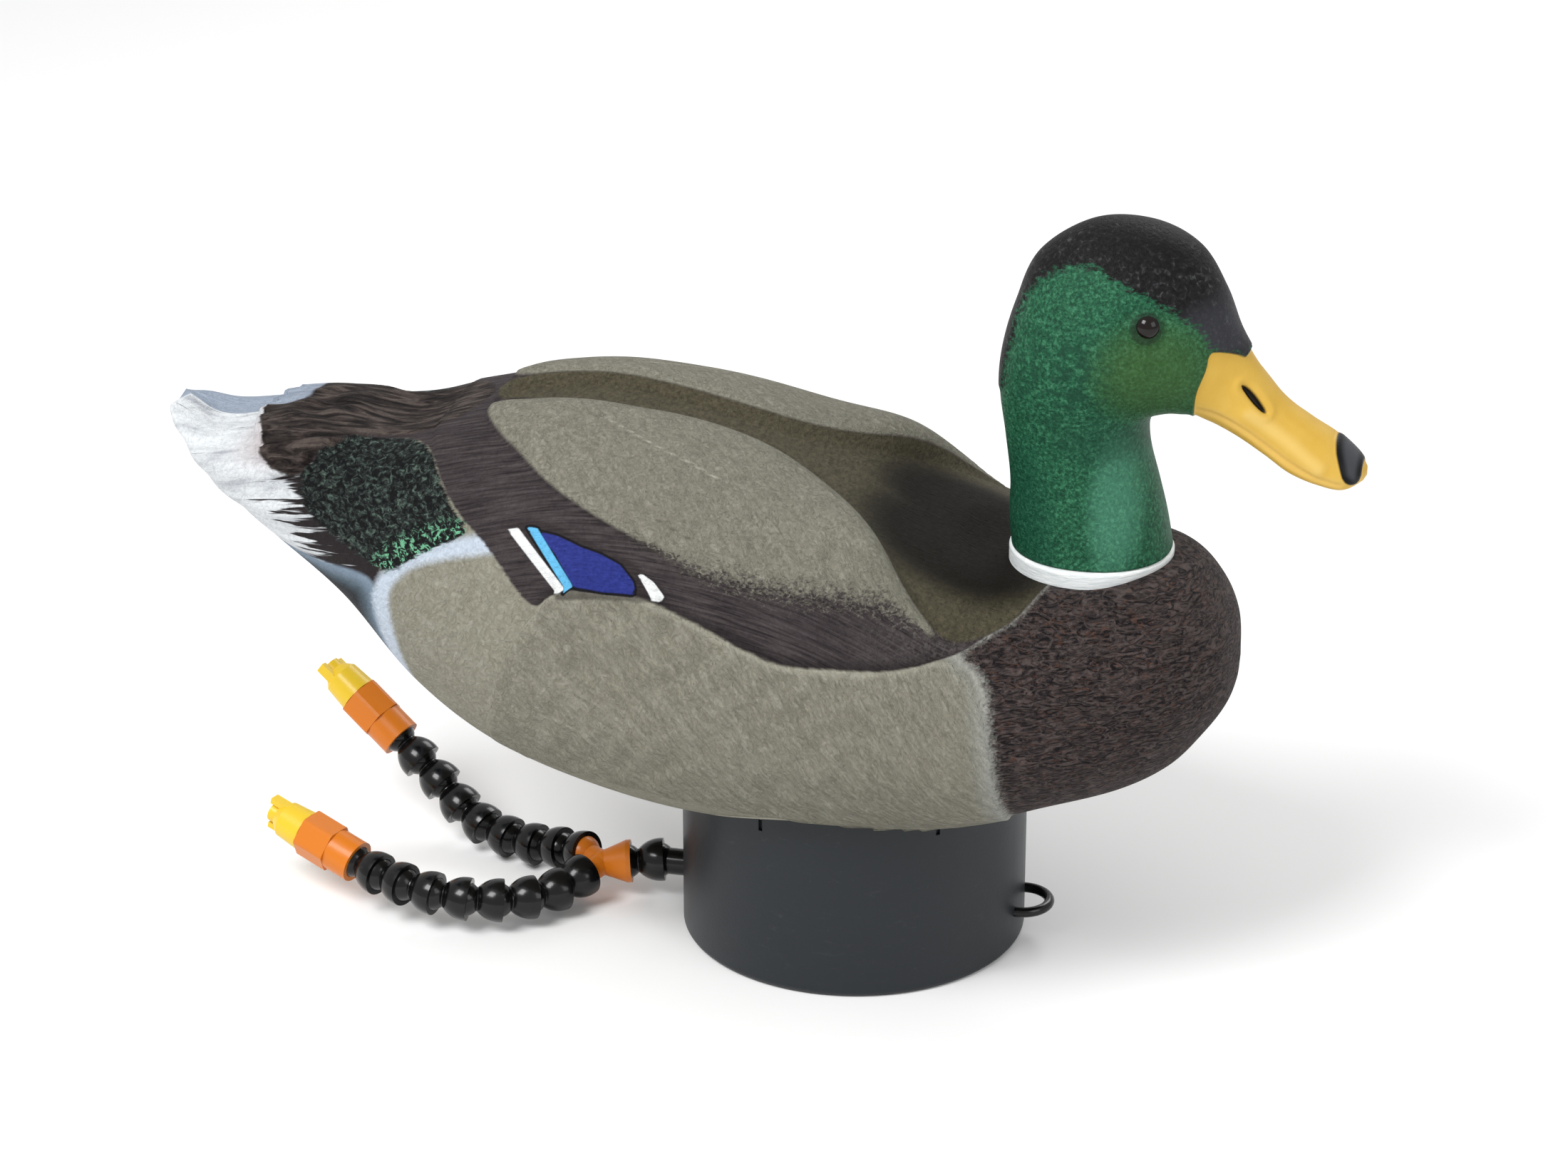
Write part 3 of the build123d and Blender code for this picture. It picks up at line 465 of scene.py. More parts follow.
def make_hull():
    """Points, normals, faces and layers of the whole painted body, closed at both ends."""
    stations = np.array([(x, keel, x, back, half, widest) for x, keel, back, half, widest in BODY])
    points, girth, side = skin(stations, BODY_POWERS, BODY_ROWS, body_shares())
    along = points[..., 0].copy()
    layers = body_layers(along, girth)
    points = points + outward(points) * body_relief(along, girth, layers)[..., None]
    points[..., 0] += TAIL_NOTCH * rise(-along, 222, 238) * np.exp(-(girth / TAIL_NOTCH_REACH) ** 2)
    points[..., 2] += neck_swell(points)
    normals = outward(points).reshape(-1, 3)
    layers["along"] = along
    layers["around"] = girth * side
    rows, columns = girth.shape
    faces = [tuple(f) for f in closed_grid_faces(rows, columns).tolist()]
    flat = points.reshape(-1, 3)
    tips = [flat[:columns].mean(axis=0) + (0.8, 0, 0), flat[-columns:].mean(axis=0) - (1.0, 0, 0)]
    first, last = rows * columns, rows * columns + 1
    for k in range(columns):
        after = (k + 1) % columns
        faces.append((k, after, first))
        faces.append(((rows - 1) * columns + after, (rows - 1) * columns + k, last))
    flat = np.concatenate([flat, tips])
    normals = np.concatenate([normals, [(1, 0, 0), (-1, 0, 0)]])
    layers = {name: np.append(values.ravel(), values.ravel()[[0, -1]])
              for name, values in layers.items()}
    return flat, normals, faces, layers


def add_hull():
    points, normals, faces, layers = make_hull()
    collar_low, collar_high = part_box("hull_collar")
    collar_r = (collar_high.y - collar_low.y) / 2 / MM + HOLE_PLAY
    neck_x, ring_r, ring_bottom, _ = neck_ring_place()
    upside_down = (1, 1, -1)
    points, faces = cut_round_hole(points * upside_down, normals * upside_down, faces, (0, 0),
                                   collar_r, COLLAR_HOLE_LEVEL, -collar_high.z / MM)
    points = points * upside_down
    points, faces = cut_round_hole(points, normals, faces, (neck_x, 0), ring_r + HOLE_PLAY,
                                   RING_HOLE_LEVEL, ring_bottom)
    layers = {name: np.append(values, np.full(len(points) - len(values), -60.0))
              for name, values in layers.items()}
    hull = make_mesh("painted_hull", points, faces, layers)
    hull.data.materials.append(hull_paint())
    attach(hull, "hull")
    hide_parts("hull_shell")


def head_layers(x, z):
    soft = {"cap": CAP, "bill": BILL, "nail": NAIL, "nostril": NOSTRIL}
    layers = {name: depth_inside(x, z, rounded(area, 1)) for name, area in soft.items()}
    layers["lip_line"] = -line_distance(x, z, rounded(LIP_LINE, closed=False), False)
    layers["ridge"] = -line_distance(x, z, rounded(RIDGE, closed=False), False)
    return layers


def head_relief(x, z, layers, eye):
    bill = layers["bill"]
    out = BILL_SEAM * rise(-bill, -0.3, 0.6) * np.exp(-np.maximum(-bill, 0) / 7)
    out += CAP_STEP * rise(layers["cap"], -0.8, 0.8) * rise(-bill, -0.3, 0.6)
    out -= NOSTRIL_DEPTH * rise(layers["nostril"], -0.7, 0.5)
    out += NOSTRIL_RIM * np.exp(-((layers["nostril"] + 1.9) / 1.1) ** 2)
    out += NAIL_STEP * rise(layers["nail"], -0.5, 0.6)
    out += RIDGE_HEIGHT * rise(layers["ridge"], -4.5, 0)
    out -= LIP_GROOVE * np.exp(-(layers["lip_line"] / 0.9) ** 2) * rise(bill, -0.5, 1)
    from_eye = np.hypot(x - eye[0], z - eye[1])
    out += EYE_RIM * np.exp(-((from_eye - EYE_RIM_R) / 0.9) ** 2)
    out -= EYE_SOCKET * np.exp(-((from_eye - EYE_SOCKET_R) / 2.2) ** 2)
    out += CHEEK_HUMP * hump(x, z, (94, 213), (26, 16))
    return out


def add_head():
    stations = np.array([(throat_x, throat_z, crown_x, crown_z, half, widest)
                         for crown_x, crown_z, throat_x, throat_z, half, widest in HEAD])
    points, around, side = skin(stations, HEAD_POWERS, HEAD_ROWS, np.linspace(0, 1, HEAD_COLUMNS))
    eye_low, eye_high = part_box("eyes")
    eye = ((eye_low.x + eye_high.x) / 2 / MM, (eye_low.z + eye_high.z) / 2 / MM)
    plug_low, plug_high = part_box("neck_plug")
    neck_x = (plug_low.x + plug_high.x) / 2 / MM
    layers = head_layers(points[..., 0], points[..., 2])
    relief = head_relief(points[..., 0], points[..., 2], layers, eye)
    points = points + outward(points) * relief[..., None]
    points[0, :, 2] = HEAD_BOTTOM
    layers["around"] = around * side
    rows, columns = around.shape
    foot = points[0]
    turn = np.arctan2(foot[:, 1], foot[:, 0] - neck_x)
    rim = np.stack([neck_x + HEAD_SOCKET_R * np.cos(turn), HEAD_SOCKET_R * np.sin(turn),
                    np.full(columns, HEAD_BOTTOM)], 1)
    roof = rim + (0, 0, HEAD_SOCKET_DEPTH)
    grid = np.concatenate([roof[None], rim[None], points])
    faces = [tuple(f) for f in closed_grid_faces(rows + 2, columns).tolist()]
    flat = grid.reshape(-1, 3)
    bill_tip = flat[-columns:].mean(axis=0) + (0.6, 0, -0.4)
    ends = np.array([[neck_x, 0, HEAD_BOTTOM + HEAD_SOCKET_DEPTH], bill_tip])
    first, last = len(flat), len(flat) + 1
    for k in range(columns):
        after = (k + 1) % columns
        faces.append((k, after, first))
        faces.append(((rows + 1) * columns + after, (rows + 1) * columns + k, last))
    faces = [face[::-1] for face in faces]
    flat = np.concatenate([flat, ends])
    padded = {n: np.concatenate([np.full(2 * columns, -60.0), v.ravel(), [-60.0, v[-1, 0]]])
              for n, v in layers.items()}
    head = make_mesh("painted_head", flat, faces, padded)
    head.data.materials.append(head_paint(eye))
    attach(head, "head")
    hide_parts("head_shell")
    return head


# -------------------------------------------------------------- materials ----

def screen(red, green, blue):
    """Scene colour from 0 to 255 screen values."""
    def linear(value):
        value /= 255
        return value / 12.92 if value <= 0.04045 else ((value + 0.055) / 1.055) ** 2.4
    return (linear(red), linear(green), linear(blue), 1.0)


class Paint:
    """One node material, with short calls for the nodes that a recipe needs."""

    def __init__(self, name, roughness, **sockets):
        self.material = bpy.data.materials.new(name)
        self.material.use_nodes = True
        self.tree = self.material.node_tree
        self.shader = self.tree.nodes["Principled BSDF"]
        self.set(Roughness=roughness, **sockets)
        self.space = self.node("TexCoord").outputs["Object"]
        self.normal = None

    def set(self, **sockets):
        for name, value in sockets.items():
            self.feed(self.shader.inputs[name.replace("_", " ")], value)

    def feed(self, socket, value):
        if isinstance(value, bpy.types.NodeSocket):
            self.tree.links.new(value, socket)
        else:
            socket.default_value = value

    def node(self, kind, inputs=None, **settings):
        made = self.tree.nodes.new("ShaderNode" + kind)
        for name, value in settings.items():
            setattr(made, name, value)
        for name, value in (inputs or {}).items():
            self.feed(made.inputs[name], value)
        return made

    def layer(self, name):
        return self.node("Attribute", attribute_name=name).outputs["Fac"]

    def math(self, operation, a, b=0.0):
        return self.node("Math", {0: a, 1: b}, operation=operation).outputs[0]

    def times(self, a, b):
        return self.math("MULTIPLY", a, b)

    def step(self, value, low, high):
        """Smooth step from 0 at low to 1 at high; falls if low is above high."""
        if low > high:
            inputs = {0: value, 1: high, 2: low, 3: 1.0, 4: 0.0}
        else:
            inputs = {0: value, 1: low, 2: high, 3: 0.0, 4: 1.0}
        return self.node("MapRange", inputs, interpolation_type="SMOOTHSTEP").outputs[0]

    def stretched(self, size, shift=0.0, skin=False, lean=0.0):
        """Coordinates in which one unit is the given size in millimetres, in space or on the
        skin, where they can lean by an angle in degrees."""
        if skin:
            flat = {0: self.layer("along"), 1: self.layer("around")}
            source = self.node("CombineXYZ", flat).outputs[0]
            if lean:
                source = self.node("VectorRotate", {"Vector": source, "Angle": radians(lean)},
                                   rotation_type="Z_AXIS").outputs[0]
            scale = [1 / s for s in size]
        else:
            source = self.space
            scale = [1 / (s * MM) for s in size]
        inputs = {0: source, 1: scale, 2: (shift, shift, shift)}
        return self.node("VectorMath", inputs, operation="MULTIPLY_ADD").outputs[0]

    def noise(self, size, detail=3.0, rough=0.55, warp=0.0, shift=0.0, skin=False, lean=0.0):
        if not isinstance(size, tuple):
            size = (size, size, size)
        inputs = {"Vector": self.stretched(size, shift, skin, lean), "Scale": 1.0, "Detail": detail,
                  "Roughness": rough, "Distortion": warp}
        return self.node("TexNoise", inputs).outputs["Fac"]

    def mix(self, share, under, over):
        made = self.tree.nodes.new("ShaderNodeMix")
        made.data_type = "RGBA"
        self.feed(made.inputs[0], share)
        self.feed(made.inputs[6], under)
        self.feed(made.inputs[7], over)
        return made.outputs[2]

    def blend(self, value, *stops):
        """Colour ramp; each stop is a place from 0 to 1 and a colour."""
        ramp = self.node("ValToRGB", {0: value})
        while len(ramp.color_ramp.elements) < len(stops):
            ramp.color_ramp.elements.new(0.5)
        for element, (place, colour) in zip(ramp.color_ramp.elements, stops):
            element.position = place
            element.color = colour
        return ramp.outputs[0]

    def bump(self, height, depth):
        """Relief of the given depth in millimetres, on top of any before it."""
        inputs = {"Height": height, "Distance": depth * MM, "Strength": 1.0}
        if self.normal is not None:
            inputs["Normal"] = self.normal
        self.normal = self.node("Bump", inputs).outputs[0]

    def done(self, colour, roughness=None):
        self.feed(self.shader.inputs["Base Color"], colour)
        if roughness is not None:
            self.feed(self.shader.inputs["Roughness"], roughness)
        if self.normal is not None:
            self.feed(self.shader.inputs["Normal"], self.normal)
        return self.material


def jagged(p, layer, noise, reach):
    """A layer's distance with its edge moved in and out by up to half the reach."""
    return p.math("ADD", p.layer(layer), p.times(p.math("SUBTRACT", noise, 0.5), reach))


def flank_colour(p, texture):
    """Warm grey with fine bark-like marks, with a painted highlight near the breast and a painted highlight
    line along its top edge.
    """
    colour = p.blend(texture["bark"], (0.3, screen(118, 115, 102)), (0.5, screen(136, 134, 121)),
                     (0.66, screen(152, 150, 138)))
    colour = p.mix(p.times(p.step(texture["wrinkle"], 0.5, 0.68), 0.3), colour, screen(108, 104, 90))
    colour = p.mix(p.times(p.step(texture["swell"], 0.5, 0.68), 0.28), colour, screen(160, 158, 146))
    colour = p.mix(p.times(p.noise(38, 2), 0.3), colour, screen(128, 124, 106))
    # painted highlight: a pale bluish lift on the flank close to the breast edge
    painted_highlight_near_breast = p.step(jagged(p, "breast", texture["grain"], 5), -10, 0)
    colour = p.mix(p.times(painted_highlight_near_breast, 0.4), colour, screen(176, 180, 180))
    # painted highlight: a thin pale line along the flank's top edge, kept off the wing
    edge = p.layer("flank")
    lit_edge = p.times(p.step(edge, -0.2, 0.5), p.step(edge, 2.4, 0.9))
    lit_edge = p.times(lit_edge, p.step(p.layer("dark"), -6, -3))
    return p.mix(p.times(lit_edge, 0.35), colour, screen(170, 168, 154))


def breast_colour(p, colour, texture):
    """Dark brown with short wavy strokes and rust flecks."""
    rust = p.noise((3.2, 3.2, 1.1), 2, 0.5, 1.6, shift=7)
    breast = p.blend(texture["strokes"], (0.36, screen(24, 21, 24)), (0.48, screen(56, 49, 49)),
                     (0.62, screen(84, 75, 73)))
    breast = p.mix(p.times(p.step(rust, 0.58, 0.66), 0.35), breast, screen(108, 74, 56))
    return p.mix(p.step(jagged(p, "breast", texture["grain"], 8), -2.5, 2.5), colour, breast)


def tail_colour(p, colour, texture, along, around):
    """Soft white and grey streaks, darker at the root, then the dark undertail."""
    vane = p.noise((30, 5.5, 1), 3, 0.55, 0.5, skin=True)
    tail = p.blend(vane, (0.32, screen(172, 176, 182)), (0.46, screen(206, 210, 213)),
                   (0.6, screen(218, 222, 225)))
    tail = p.mix(p.times(p.step(texture["fine"], 0.54, 0.7), 0.22), tail, screen(160, 158, 160))
    upper_root = p.times(p.step(along, -214, -190), p.step(around, 40, 26))
    tail = p.mix(upper_root, tail, screen(176, 160, 160))
    loose = p.math("SUBTRACT", texture["streaks"], 0.5)
    root = p.math("ADD", p.times(p.step(along, -204, -170), 0.34), loose)
    tail = p.mix(p.step(root, 0.16, 0.26), tail, screen(40, 35, 36))
    colour = p.mix(p.step(along, -151, -154), colour, tail)
    under = p.blend(p.step(p.layer("undertail"), 0, 14), (0.0, screen(124, 140, 156)),
                    (0.45, screen(76, 90, 100)), (0.9, screen(34, 38, 42)))
    return p.mix(p.step(p.layer("undertail"), -0.8, 1.2), colour, under)


def rump_colour(p, colour, texture):
    """A pale line that parts the flank from the rump and tail, then the rump: near black with
    grey-green flecks, brighter green low at the front."""
    pale = p.step(jagged(p, "pale_line", texture["grain"], 2.4), -5.2, -1.4)
    colour = p.mix(pale, colour, p.mix(texture["grain"], screen(168, 182, 198), screen(204, 212, 222)))
    flecks = texture["flecks"]
    rump = p.blend(flecks, (0.44, screen(17, 18, 19)), (0.56, screen(46, 53, 51)),
                   (0.68, screen(84, 102, 92)))
    green = p.times(p.step(p.layer("pale_line"), -13, -5), p.step(flecks, 0.52, 0.6))
    rump = p.mix(green, rump, screen(110, 178, 140))
    return p.mix(p.step(jagged(p, "rump", texture["fray"], 5), -0.9, 0.9), colour, rump)


def wing_colour(p, colour, texture, along):
    """Brown-grey wings with a painted shadow just above the flank's top edge, the dark coverts over the
    tail, and the far root of the tail.
    """
    fine, fray = texture["fine"], texture["fray"]
    wing = p.blend(fine, (0.32, screen(40, 35, 37)), (0.68, screen(76, 69, 70)))
    front = p.times(p.step(along, 0, 45), p.step(texture["grain"], 0.4, 0.7))
    wing = p.mix(front, wing, screen(84, 79, 78))
    # painted shadow: the wing darkened just above the flank's top edge, where the flank overhangs it
    painted_shadow_above_flank = p.times(p.step(p.layer("flank"), -4.5, -0.3), 0.6)
    wing = p.mix(painted_shadow_above_flank, wing, screen(28, 24, 25))
    colour = p.mix(p.step(jagged(p, "dark", fray, 1.2), -0.5, 0.5), colour, wing)
    covert = p.blend(texture["plumes"], (0.36, screen(20, 16, 16)), (0.5, screen(50, 43, 41)),
                     (0.64, screen(84, 75, 70)))
    colour = p.mix(p.step(jagged(p, "coverts", fray, 4), -0.8, 0.8), colour, covert)
    far_root = p.times(p.step(p.layer("around"), 0.5, 1.5), p.step(along, -191, -193))
    return p.mix(far_root, colour, p.mix(fine, screen(110, 122, 140), screen(176, 186, 200)))


def mantle_colour(p, colour, texture, along, around):
    """Olive brown between the panels, with painted shade, nearly black, in the hollow behind the neck."""
    mantle = p.blend(texture["grain"], (0.32, screen(60, 56, 44)), (0.68, screen(88, 83, 66)))
    # painted shade: nearly black in the hollow behind and beside the neck
    behind_neck = p.math("DIVIDE", p.math("SUBTRACT", along, 40.0), 34.0)
    beside_neck = p.math("DIVIDE", p.math("SUBTRACT", around, 14.0), 30.0)
    hollow = p.math("ADD", p.math("POWER", behind_neck, 2.0), p.math("POWER", beside_neck, 2.0))
    mantle = p.mix(p.times(p.step(hollow, 1.5, 0.4), 0.95), mantle, screen(12, 9, 6))
    return p.mix(p.step(p.layer("mantle"), -0.5, 0.7), colour, mantle)


def panel_colour(p, colour, texture, along):
    """The flank's grey, fading into the wing at the lower front, with two feather lines."""
    panel = p.blend(texture["bark"], (0.3, screen(112, 109, 97)), (0.52, screen(132, 130, 117)),
                    (0.68, screen(148, 146, 133)))
    panel = p.mix(p.times(p.step(texture["wrinkle"], 0.52, 0.7), 0.28), panel, screen(102, 98, 86))
    light_line = p.times(p.step(p.layer("light_quill"), -1.0, -0.2), 0.6)
    panel = p.mix(light_line, panel, screen(176, 174, 160))
    dark_line = p.times(p.step(p.layer("dark_quill"), -0.9, -0.2), 0.6)
    panel = p.mix(dark_line, panel, screen(86, 82, 74))
    frontal = p.times(p.step(along, -70, -20), p.step(p.layer("mantle"), -2, -9))
    loose = p.times(p.math("SUBTRACT", texture["grain"], 0.62), p.times(frontal, 26.0))
    edge = p.math("ADD", p.layer("panel"), loose)
    sharp = p.times(p.step(edge, -0.6, 0.9), p.math("SUBTRACT", 1.0, frontal))
    soft = p.times(p.step(edge, -5.0, 5.0), frontal)
    return p.mix(p.math("ADD", sharp, soft), colour, panel)


def speculum_colour(p, colour):
    """Blue with a pale blue bar, between two white bars with black edges."""
    black = screen(24, 22, 24)
    ground = p.times(p.step(p.layer("speculum"), -0.8, 0.6), 0.6)
    colour = p.mix(ground, colour, screen(44, 38, 39))
    colour = p.mix(p.step(p.layer("blue"), -1.1, -0.6), colour, black)
    colour = p.mix(p.step(p.layer("cyan"), -1.0, -0.6), colour, black)
    blue = p.mix(p.noise((2.2, 1.0, 1), 2, skin=True), screen(30, 38, 104), screen(54, 64, 142))
    colour = p.mix(p.step(p.layer("blue"), -0.25, 0.25), colour, blue)
    colour = p.mix(p.step(p.layer("cyan"), -0.25, 0.25), colour, screen(98, 178, 220))
    for bar in ("white_rear", "white_front"):
        colour = p.mix(p.step(p.layer(bar), -0.25, 0.25), colour, screen(226, 228, 228))
    return colour


def hull_paint():
    p = Paint("hull_paint", 0.6, Specular_IOR_Level=0.08)
    along = p.layer("along")
    around = p.math("ABSOLUTE", p.layer("around"))
    texture = {
        "grain": p.noise((1.4, 2.4, 1.0), 3, 0.65, 0.6),
        "bark": p.noise((2.0, 2.4, 1), 5, 0.66, 1.6, skin=True),
        "wrinkle": p.noise((3.0, 8, 1), 5, 0.68, 2.0, skin=True, lean=-40),
        "swell": p.noise((7, 24, 1), 3, 0.5, 1.6, skin=True, lean=-46),
        "streaks": p.noise((24, 2.0, 1), 3, 0.6, 0.5, skin=True),
        "fine": p.noise((16, 0.9, 1), 3, 0.6, 0.5, skin=True),
        "fray": p.noise((5, 1.6, 1), 3, 0.6, 0.3, skin=True),
        "plumes": p.noise((15, 3.2, 1), 3, 0.6, 1.0, skin=True),
        "strokes": p.noise((6.0, 6.0, 1.7), 3, 0.6, 2.4),
        "flecks": p.noise((2.2, 1.9, 1.9), 3, 0.7, 0.8),
    }
    colour = flank_colour(p, texture)
    colour = breast_colour(p, colour, texture)
    colour = tail_colour(p, colour, texture, along, around)
    colour = rump_colour(p, colour, texture)
    colour = wing_colour(p, colour, texture, along)
    colour = mantle_colour(p, colour, texture, along, around)
    colour = panel_colour(p, colour, texture, along)
    colour = speculum_colour(p, colour)

    p.bump(texture["bark"], 0.9)
    smooth_area = p.math("ADD", p.step(p.layer("flank"), -2, 3), p.step(p.layer("panel"), -2, 3))
    p.bump(p.times(p.math("ADD", texture["wrinkle"], texture["swell"]), smooth_area), 1.3)
    p.bump(p.times(texture["strokes"], p.step(p.layer("breast"), -2, 3)), 1.8)
    p.bump(p.times(texture["plumes"], p.step(p.layer("coverts"), -1, 2)), 1.6)
    p.bump(p.times(texture["fine"], p.step(p.layer("dark"), -2, 2)), 0.45)
    p.bump(p.times(texture["flecks"], p.step(p.layer("rump"), -2, 2)), 0.8)
    return p.done(colour, p.math("ADD", 0.5, p.times(texture["grain"], 0.22)))


def square_of_offset(p, value, centre, reach=1.0):
    offset = p.math("DIVIDE", p.math("SUBTRACT", value, centre), reach)
    return p.math("POWER", offset, 2.0)


def head_green(p, stipple, spot):
    """Stippled green, olive on the face, with a painted shadow under the cheek and scale-like feathers
    behind the cheek.
    """
    green = p.blend(stipple, (0.36, screen(16, 58, 40)), (0.52, screen(30, 84, 58)),
                    (0.7, screen(62, 120, 90)))
    face = p.times(spot((102, 218), (26, 24)), 0.75)
    green = p.mix(face, green, p.mix(stipple, screen(30, 60, 24), screen(66, 98, 46)))
    throat = p.times(spot((90, 170), (11, 30)), 0.45)
    green = p.mix(throat, green, p.mix(stipple, screen(56, 122, 96), screen(100, 160, 134)))
    green = p.mix(p.times(spot((58, 158), (16, 40)), 0.5), green, screen(14, 60, 46))
    # painted shadow under the cheek, where the head overhangs the neck
    green = p.mix(p.times(spot((86, 192), (24, 9)), 0.4), green, screen(16, 56, 42))
    inputs = {"Vector": p.stretched((4.2, 4.2, 2.6)), "Scale": 1.0, "Randomness": 0.75}
    from_middle = p.node("TexVoronoi", inputs).outputs["Distance"]
    cheek = spot((70, 214), (24, 26))
    scale_edges = p.times(p.step(from_middle, 0.42, 0.72), p.times(cheek, 0.7))
    green = p.mix(scale_edges, green, screen(20, 58, 42))
    scale_middles = p.times(p.step(from_middle, 0.3, 0.1), p.times(cheek, 0.3))
    return p.mix(scale_middles, green, screen(84, 140, 110))


def cap_colour(p, spot):
    """Near black with faint flecks, greyer on the forehead."""
    flecks = p.noise(1.7, 2, 0.5, 0.7, shift=5)
    cap = p.blend(flecks, (0.42, screen(11, 10, 11)), (0.6, screen(28, 27, 29)),
                  (0.74, screen(66, 68, 68)))
    cap = p.mix(p.times(spot((120, 230), (18, 15)), 0.5), cap, screen(64, 65, 72))
    return p.mix(p.times(spot((100, 262), (34, 15)), 0.7), cap, screen(12, 9, 9))


def bill_colour(p):
    """Dull yellow with a painted highlight along the ridge and along the lip line, a black nostril and a
    grey nail.
    """
    bill = p.mix(p.noise(9, 3), screen(192, 152, 58), screen(206, 170, 80))
    # painted highlight along the lip line
    bill = p.mix(p.times(p.step(p.layer("lip_line"), -3.2, -0.4), 0.3), bill, screen(212, 178, 112))
    # painted highlight along the ridge of the bill
    bill = p.mix(p.times(p.step(p.layer("ridge"), -3.4, -0.2), 0.4), bill, screen(222, 194, 124))
    bill = p.mix(p.step(p.layer("nostril"), -0.5, 0.1), bill, screen(20, 16, 12))
    nail = p.mix(p.step(p.layer("nail"), 0.8, 2.6), screen(14, 14, 16), screen(62, 64, 68))
    return p.mix(p.step(p.layer("nail"), -0.3, 0.3), bill, nail)


def head_paint(eye):
    p = Paint("head_paint", 0.5, Specular_IOR_Level=0.14)
    place = p.node("SeparateXYZ", {0: p.space}).outputs
    x = p.math("DIVIDE", place[0], MM)
    z = p.math("DIVIDE", place[2], MM)
    stipple = p.noise(1.15, 3, 0.65, 0.4)
    fray = p.noise((2.6, 2.6, 1.2), 2, 0.6, 0.4)

    def spot(centre, reach):
        """1 at a place on the head seen from the side, fading to 0 at its reach."""
        across = square_of_offset(p, x, centre[0], reach[0])
        up = square_of_offset(p, z, centre[1], reach[1])
        return p.step(p.math("ADD", across, up), 1.0, 0.0)

    on_cap = p.step(jagged(p, "cap", fray, 7), -1.0, 1.0)
    colour = p.mix(on_cap, head_green(p, stipple, spot), cap_colour(p, spot))
    on_bill = p.step(p.layer("bill"), -0.25, 0.25)
    colour = p.mix(on_bill, colour, bill_colour(p))
    from_eye = p.math("ADD", square_of_offset(p, x, eye[0]), square_of_offset(p, z, eye[1]))
    shadow = p.step(p.math("SQRT", from_eye), 5.8, 4.6)
    colour = p.mix(p.times(shadow, 0.6), colour, screen(16, 26, 20))

    p.bump(p.times(stipple, p.step(p.layer("bill"), 0.2, -0.4)), 0.6)
    p.bump(p.noise(0.8, 2), 0.08)
    return p.done(colour, p.math("SUBTRACT", 0.5, p.times(on_bill, 0.08)))


def moulded(name, colour, roughness, coat=0.0, grain=0.05, wear=0.12):
    """Moulded plastic: slight mottling, a fine surface grain and duller scuffs."""
    p = Paint(name, roughness, Coat_Weight=coat, Coat_Roughness=0.12, Specular_IOR_Level=0.28)
    cloud = p.noise(22, 3)
    fine = p.noise(0.9, 2, 0.6)
    scuff = p.step(p.noise((7, 7, 2.4), 4, 0.7, 1.0, shift=3), 0.6, 0.74)
    darker = tuple(c * 0.82 for c in colour[:3]) + (1.0,)
    tinted = p.mix(p.times(cloud, 0.35), colour, darker)
    worn = p.mix(p.times(scuff, wear), tinted, screen(150, 150, 148))
    p.bump(fine, grain)
    uneven = p.times(p.math("ADD", cloud, scuff), 0.08)
    return p.done(worn, p.math("ADD", roughness - 0.04, uneven))


def brushed(name, colour, roughness):
    """Bare metal with faint drawn lines."""
    p = Paint(name, roughness, Metallic=1.0)
    lines = p.noise((0.5, 0.5, 9), 3, 0.6)
    tone = p.mix(lines, colour, tuple(c * 0.7 for c in colour[:3]) + (1.0,))
    p.bump(lines, 0.02)
    return p.done(tone, p.math("ADD", roughness - 0.08, p.times(lines, 0.18)))


def collar_paint():
    """The hull's grey, for the hidden sleeve that locks on the base."""
    p = Paint("collar_paint", 0.6, Specular_IOR_Level=0.35)
    bark = p.noise((3, 3, 1.4), 4, 0.62, 1.0)
    p.bump(bark, 0.3)
    return p.done(p.blend(bark, (0.3, screen(138, 135, 121)), (0.62, screen(165, 162, 148))))


def white_ring_paint():
    p = Paint("white_ring_paint", 0.5)
    brush = p.noise((6, 6, 0.8), 3, 0.6, 0.6)
    p.bump(brush, 0.2)
    return p.done(p.blend(brush, (0.3, screen(204, 211, 213)), (0.66, screen(238, 241, 240))))


def cell_wrap():
    p = Paint("cell_wrap", 0.35)
    place = p.node("SeparateXYZ", {0: p.space}).outputs
    band = p.step(place[2], 0.0505, 0.0510)
    p.bump(p.noise(1.4, 2), 0.05)
    return p.done(p.mix(band, screen(34, 74, 52), screen(206, 168, 96)))


def circuit_board():
    p = Paint("circuit_board", 0.4)
    traces = p.noise((2.2, 2.2, 0.6), 1, 0.4, 2.0)
    p.bump(traces, 0.04)
    return p.done(p.mix(p.step(traces, 0.5, 0.53), screen(20, 74, 48), screen(44, 112, 74)))


def glass_eye():
    p = Paint("eye_gloss", 0.12, Specular_IOR_Level=0.3)
    return p.done(p.mix(p.noise(2.4, 2), screen(8, 6, 6), screen(24, 16, 12)))


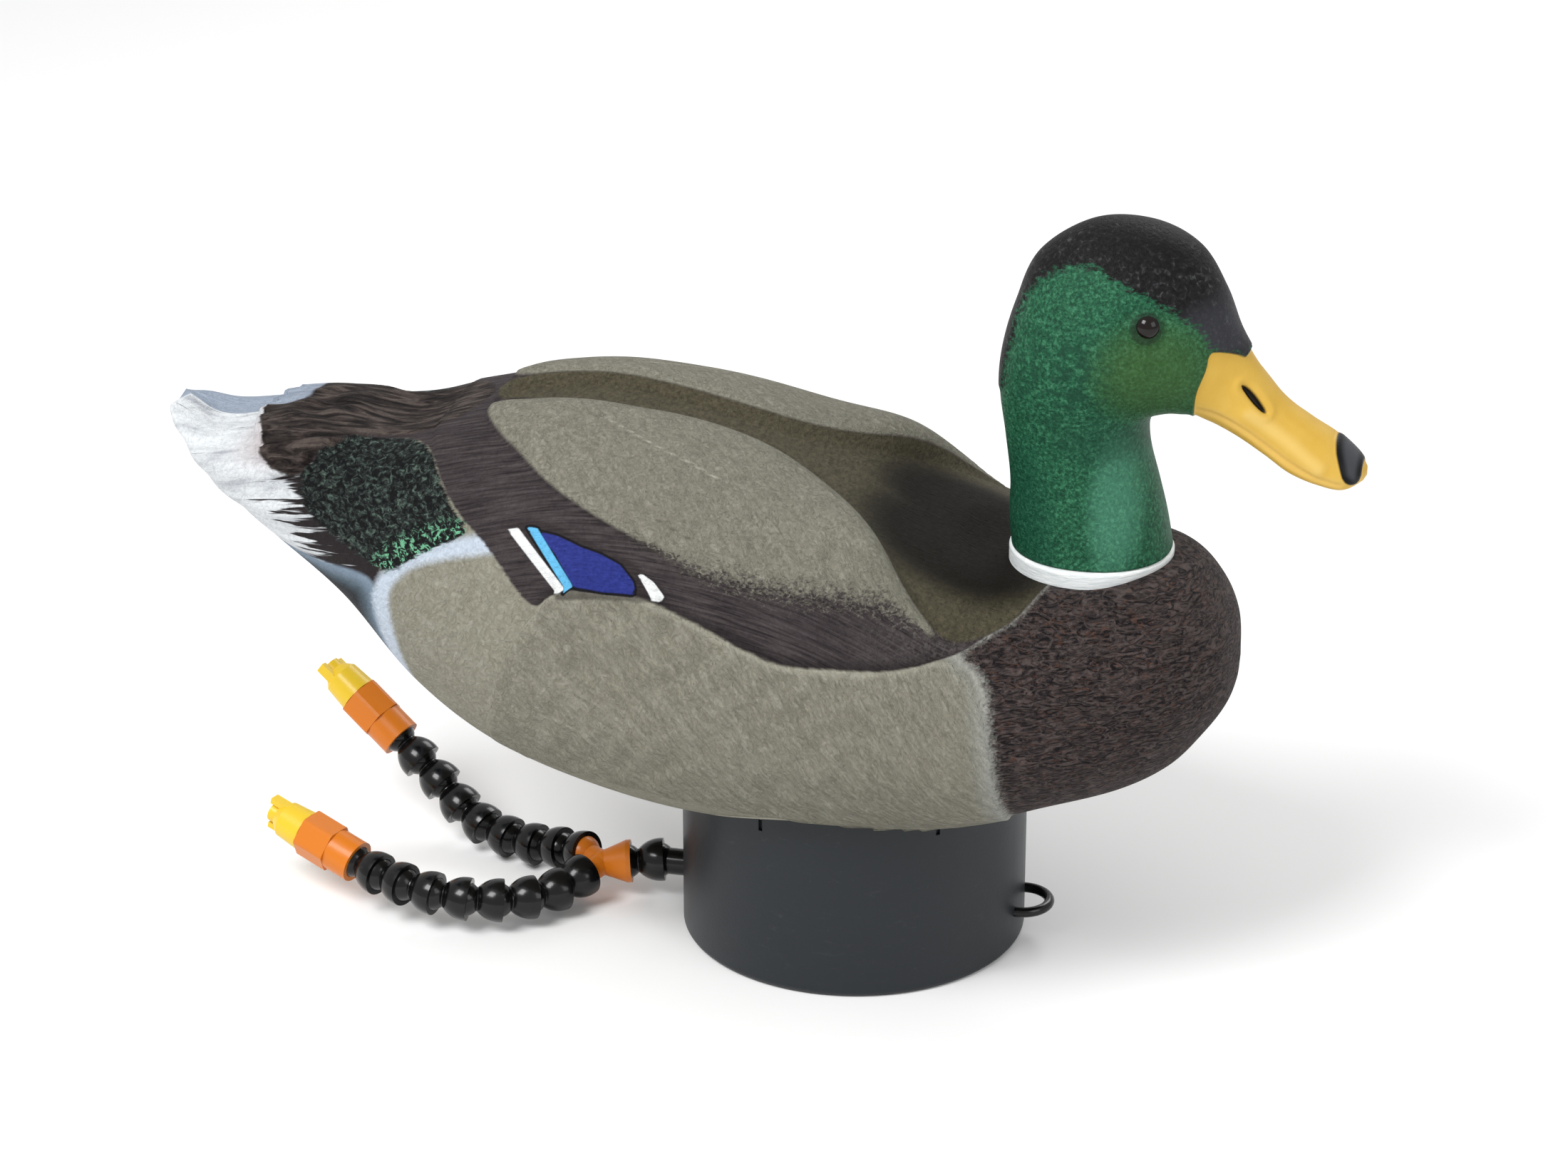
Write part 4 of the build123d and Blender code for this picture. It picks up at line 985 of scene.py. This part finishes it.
def node_materials():
    """Finish of every CAD node, by the record's material slots."""
    makers = {
        "base_plastic": moulded("base_plastic", screen(33, 37, 41), 0.4, grain=0.05, wear=0.04),
        "black_plastic": moulded("black_plastic", screen(10, 10, 11), 0.22, coat=0.2, grain=0.03, wear=0.03),
        "orange_plastic": moulded("orange_plastic", screen(208, 116, 26), 0.36, coat=0.1, wear=0.04),
        "yellow_plastic": moulded("yellow_plastic", screen(226, 190, 44), 0.36, coat=0.15, wear=0.03),
        "hull_paint": collar_paint(),
        "head_paint": moulded("plug_plastic", screen(36, 60, 50), 0.5),
        "white_paint": white_ring_paint(),
        "eye_gloss": glass_eye(),
        "rubber": moulded("rubber", screen(28, 28, 29), 0.72, grain=0.1),
        "steel": brushed("steel", screen(190, 192, 194), 0.3),
        "motor_can": brushed("motor_can", screen(158, 160, 164), 0.38),
        "brass": brushed("brass", screen(206, 168, 92), 0.3),
        "inner_plastic": moulded("inner_plastic", screen(196, 194, 186), 0.5),
        "cell_wrap": cell_wrap(),
        "board_green": circuit_board(),
    }
    for part in frame["record"]["subparts"]:
        slots = frame["nodes"][part["node"]].data.materials
        if len(slots) == 0:
            slots.append(makers[part["material_slot"]])
        for k in range(len(slots)):
            slots[k] = makers[part["material_slot"]]


# ------------------------------------------------------------------ scene ----

def add_floor():
    half = FLOOR_SIZE / 2
    corners = [(-half, -half, 0), (half, -half, 0), (half, half, 0), (-half, half, 0)]
    floor = make_mesh("floor", corners, [(0, 1, 2, 3)], {})
    p = Paint("floor_paint", 0.8)
    floor.data.materials.append(p.done(p.mix(p.noise(400, 2), screen(243, 243, 243), screen(246, 246, 246))))


def add_camera():
    turn, pitch = radians(CAMERA_AZIMUTH), radians(CAMERA_PITCH)
    back = Vector((sin(turn) * cos(pitch), -cos(turn) * cos(pitch), sin(pitch)))
    data = bpy.data.cameras.new("camera")
    data.lens = CAMERA_LENS
    data.sensor_width = 36
    camera = bpy.data.objects.new("camera", data)
    camera.location = (Vector(CAMERA_AIM) + back * CAMERA_DISTANCE) * MM
    camera.rotation_euler = back.to_track_quat("Z", "Y").to_euler()
    bpy.context.scene.collection.objects.link(camera)
    bpy.context.scene.camera = camera


def add_lamp(name, place, aim, size, power):
    data = bpy.data.lights.new(name, "AREA")
    data.shape = "SQUARE"
    data.size = size * MM
    data.energy = power
    lamp = bpy.data.objects.new(name, data)
    lamp.location = Vector(place) * MM
    lamp.rotation_euler = (Vector(place) - Vector(aim)).to_track_quat("Z", "Y").to_euler()
    bpy.context.scene.collection.objects.link(lamp)


def add_light():
    world = bpy.data.worlds.new("studio")
    world.use_nodes = True
    world.node_tree.nodes["Background"].inputs["Color"].default_value = (1, 1, 1, 1)
    world.node_tree.nodes["Background"].inputs["Strength"].default_value = 0.62
    bpy.context.scene.world = world
    middle = (0, 0, 100)
    add_lamp("key", (-700, -1000, 1500), middle, 800, 28)
    add_lamp("fill", (1300, -700, 900), middle, 900, 6)
    add_lamp("rim", (300, 1200, 1100), middle, 700, 7)
    bpy.context.scene.view_settings.view_transform = "Standard"


add_camera()
add_floor()
add_light()
node_materials()
add_hull()
add_head()
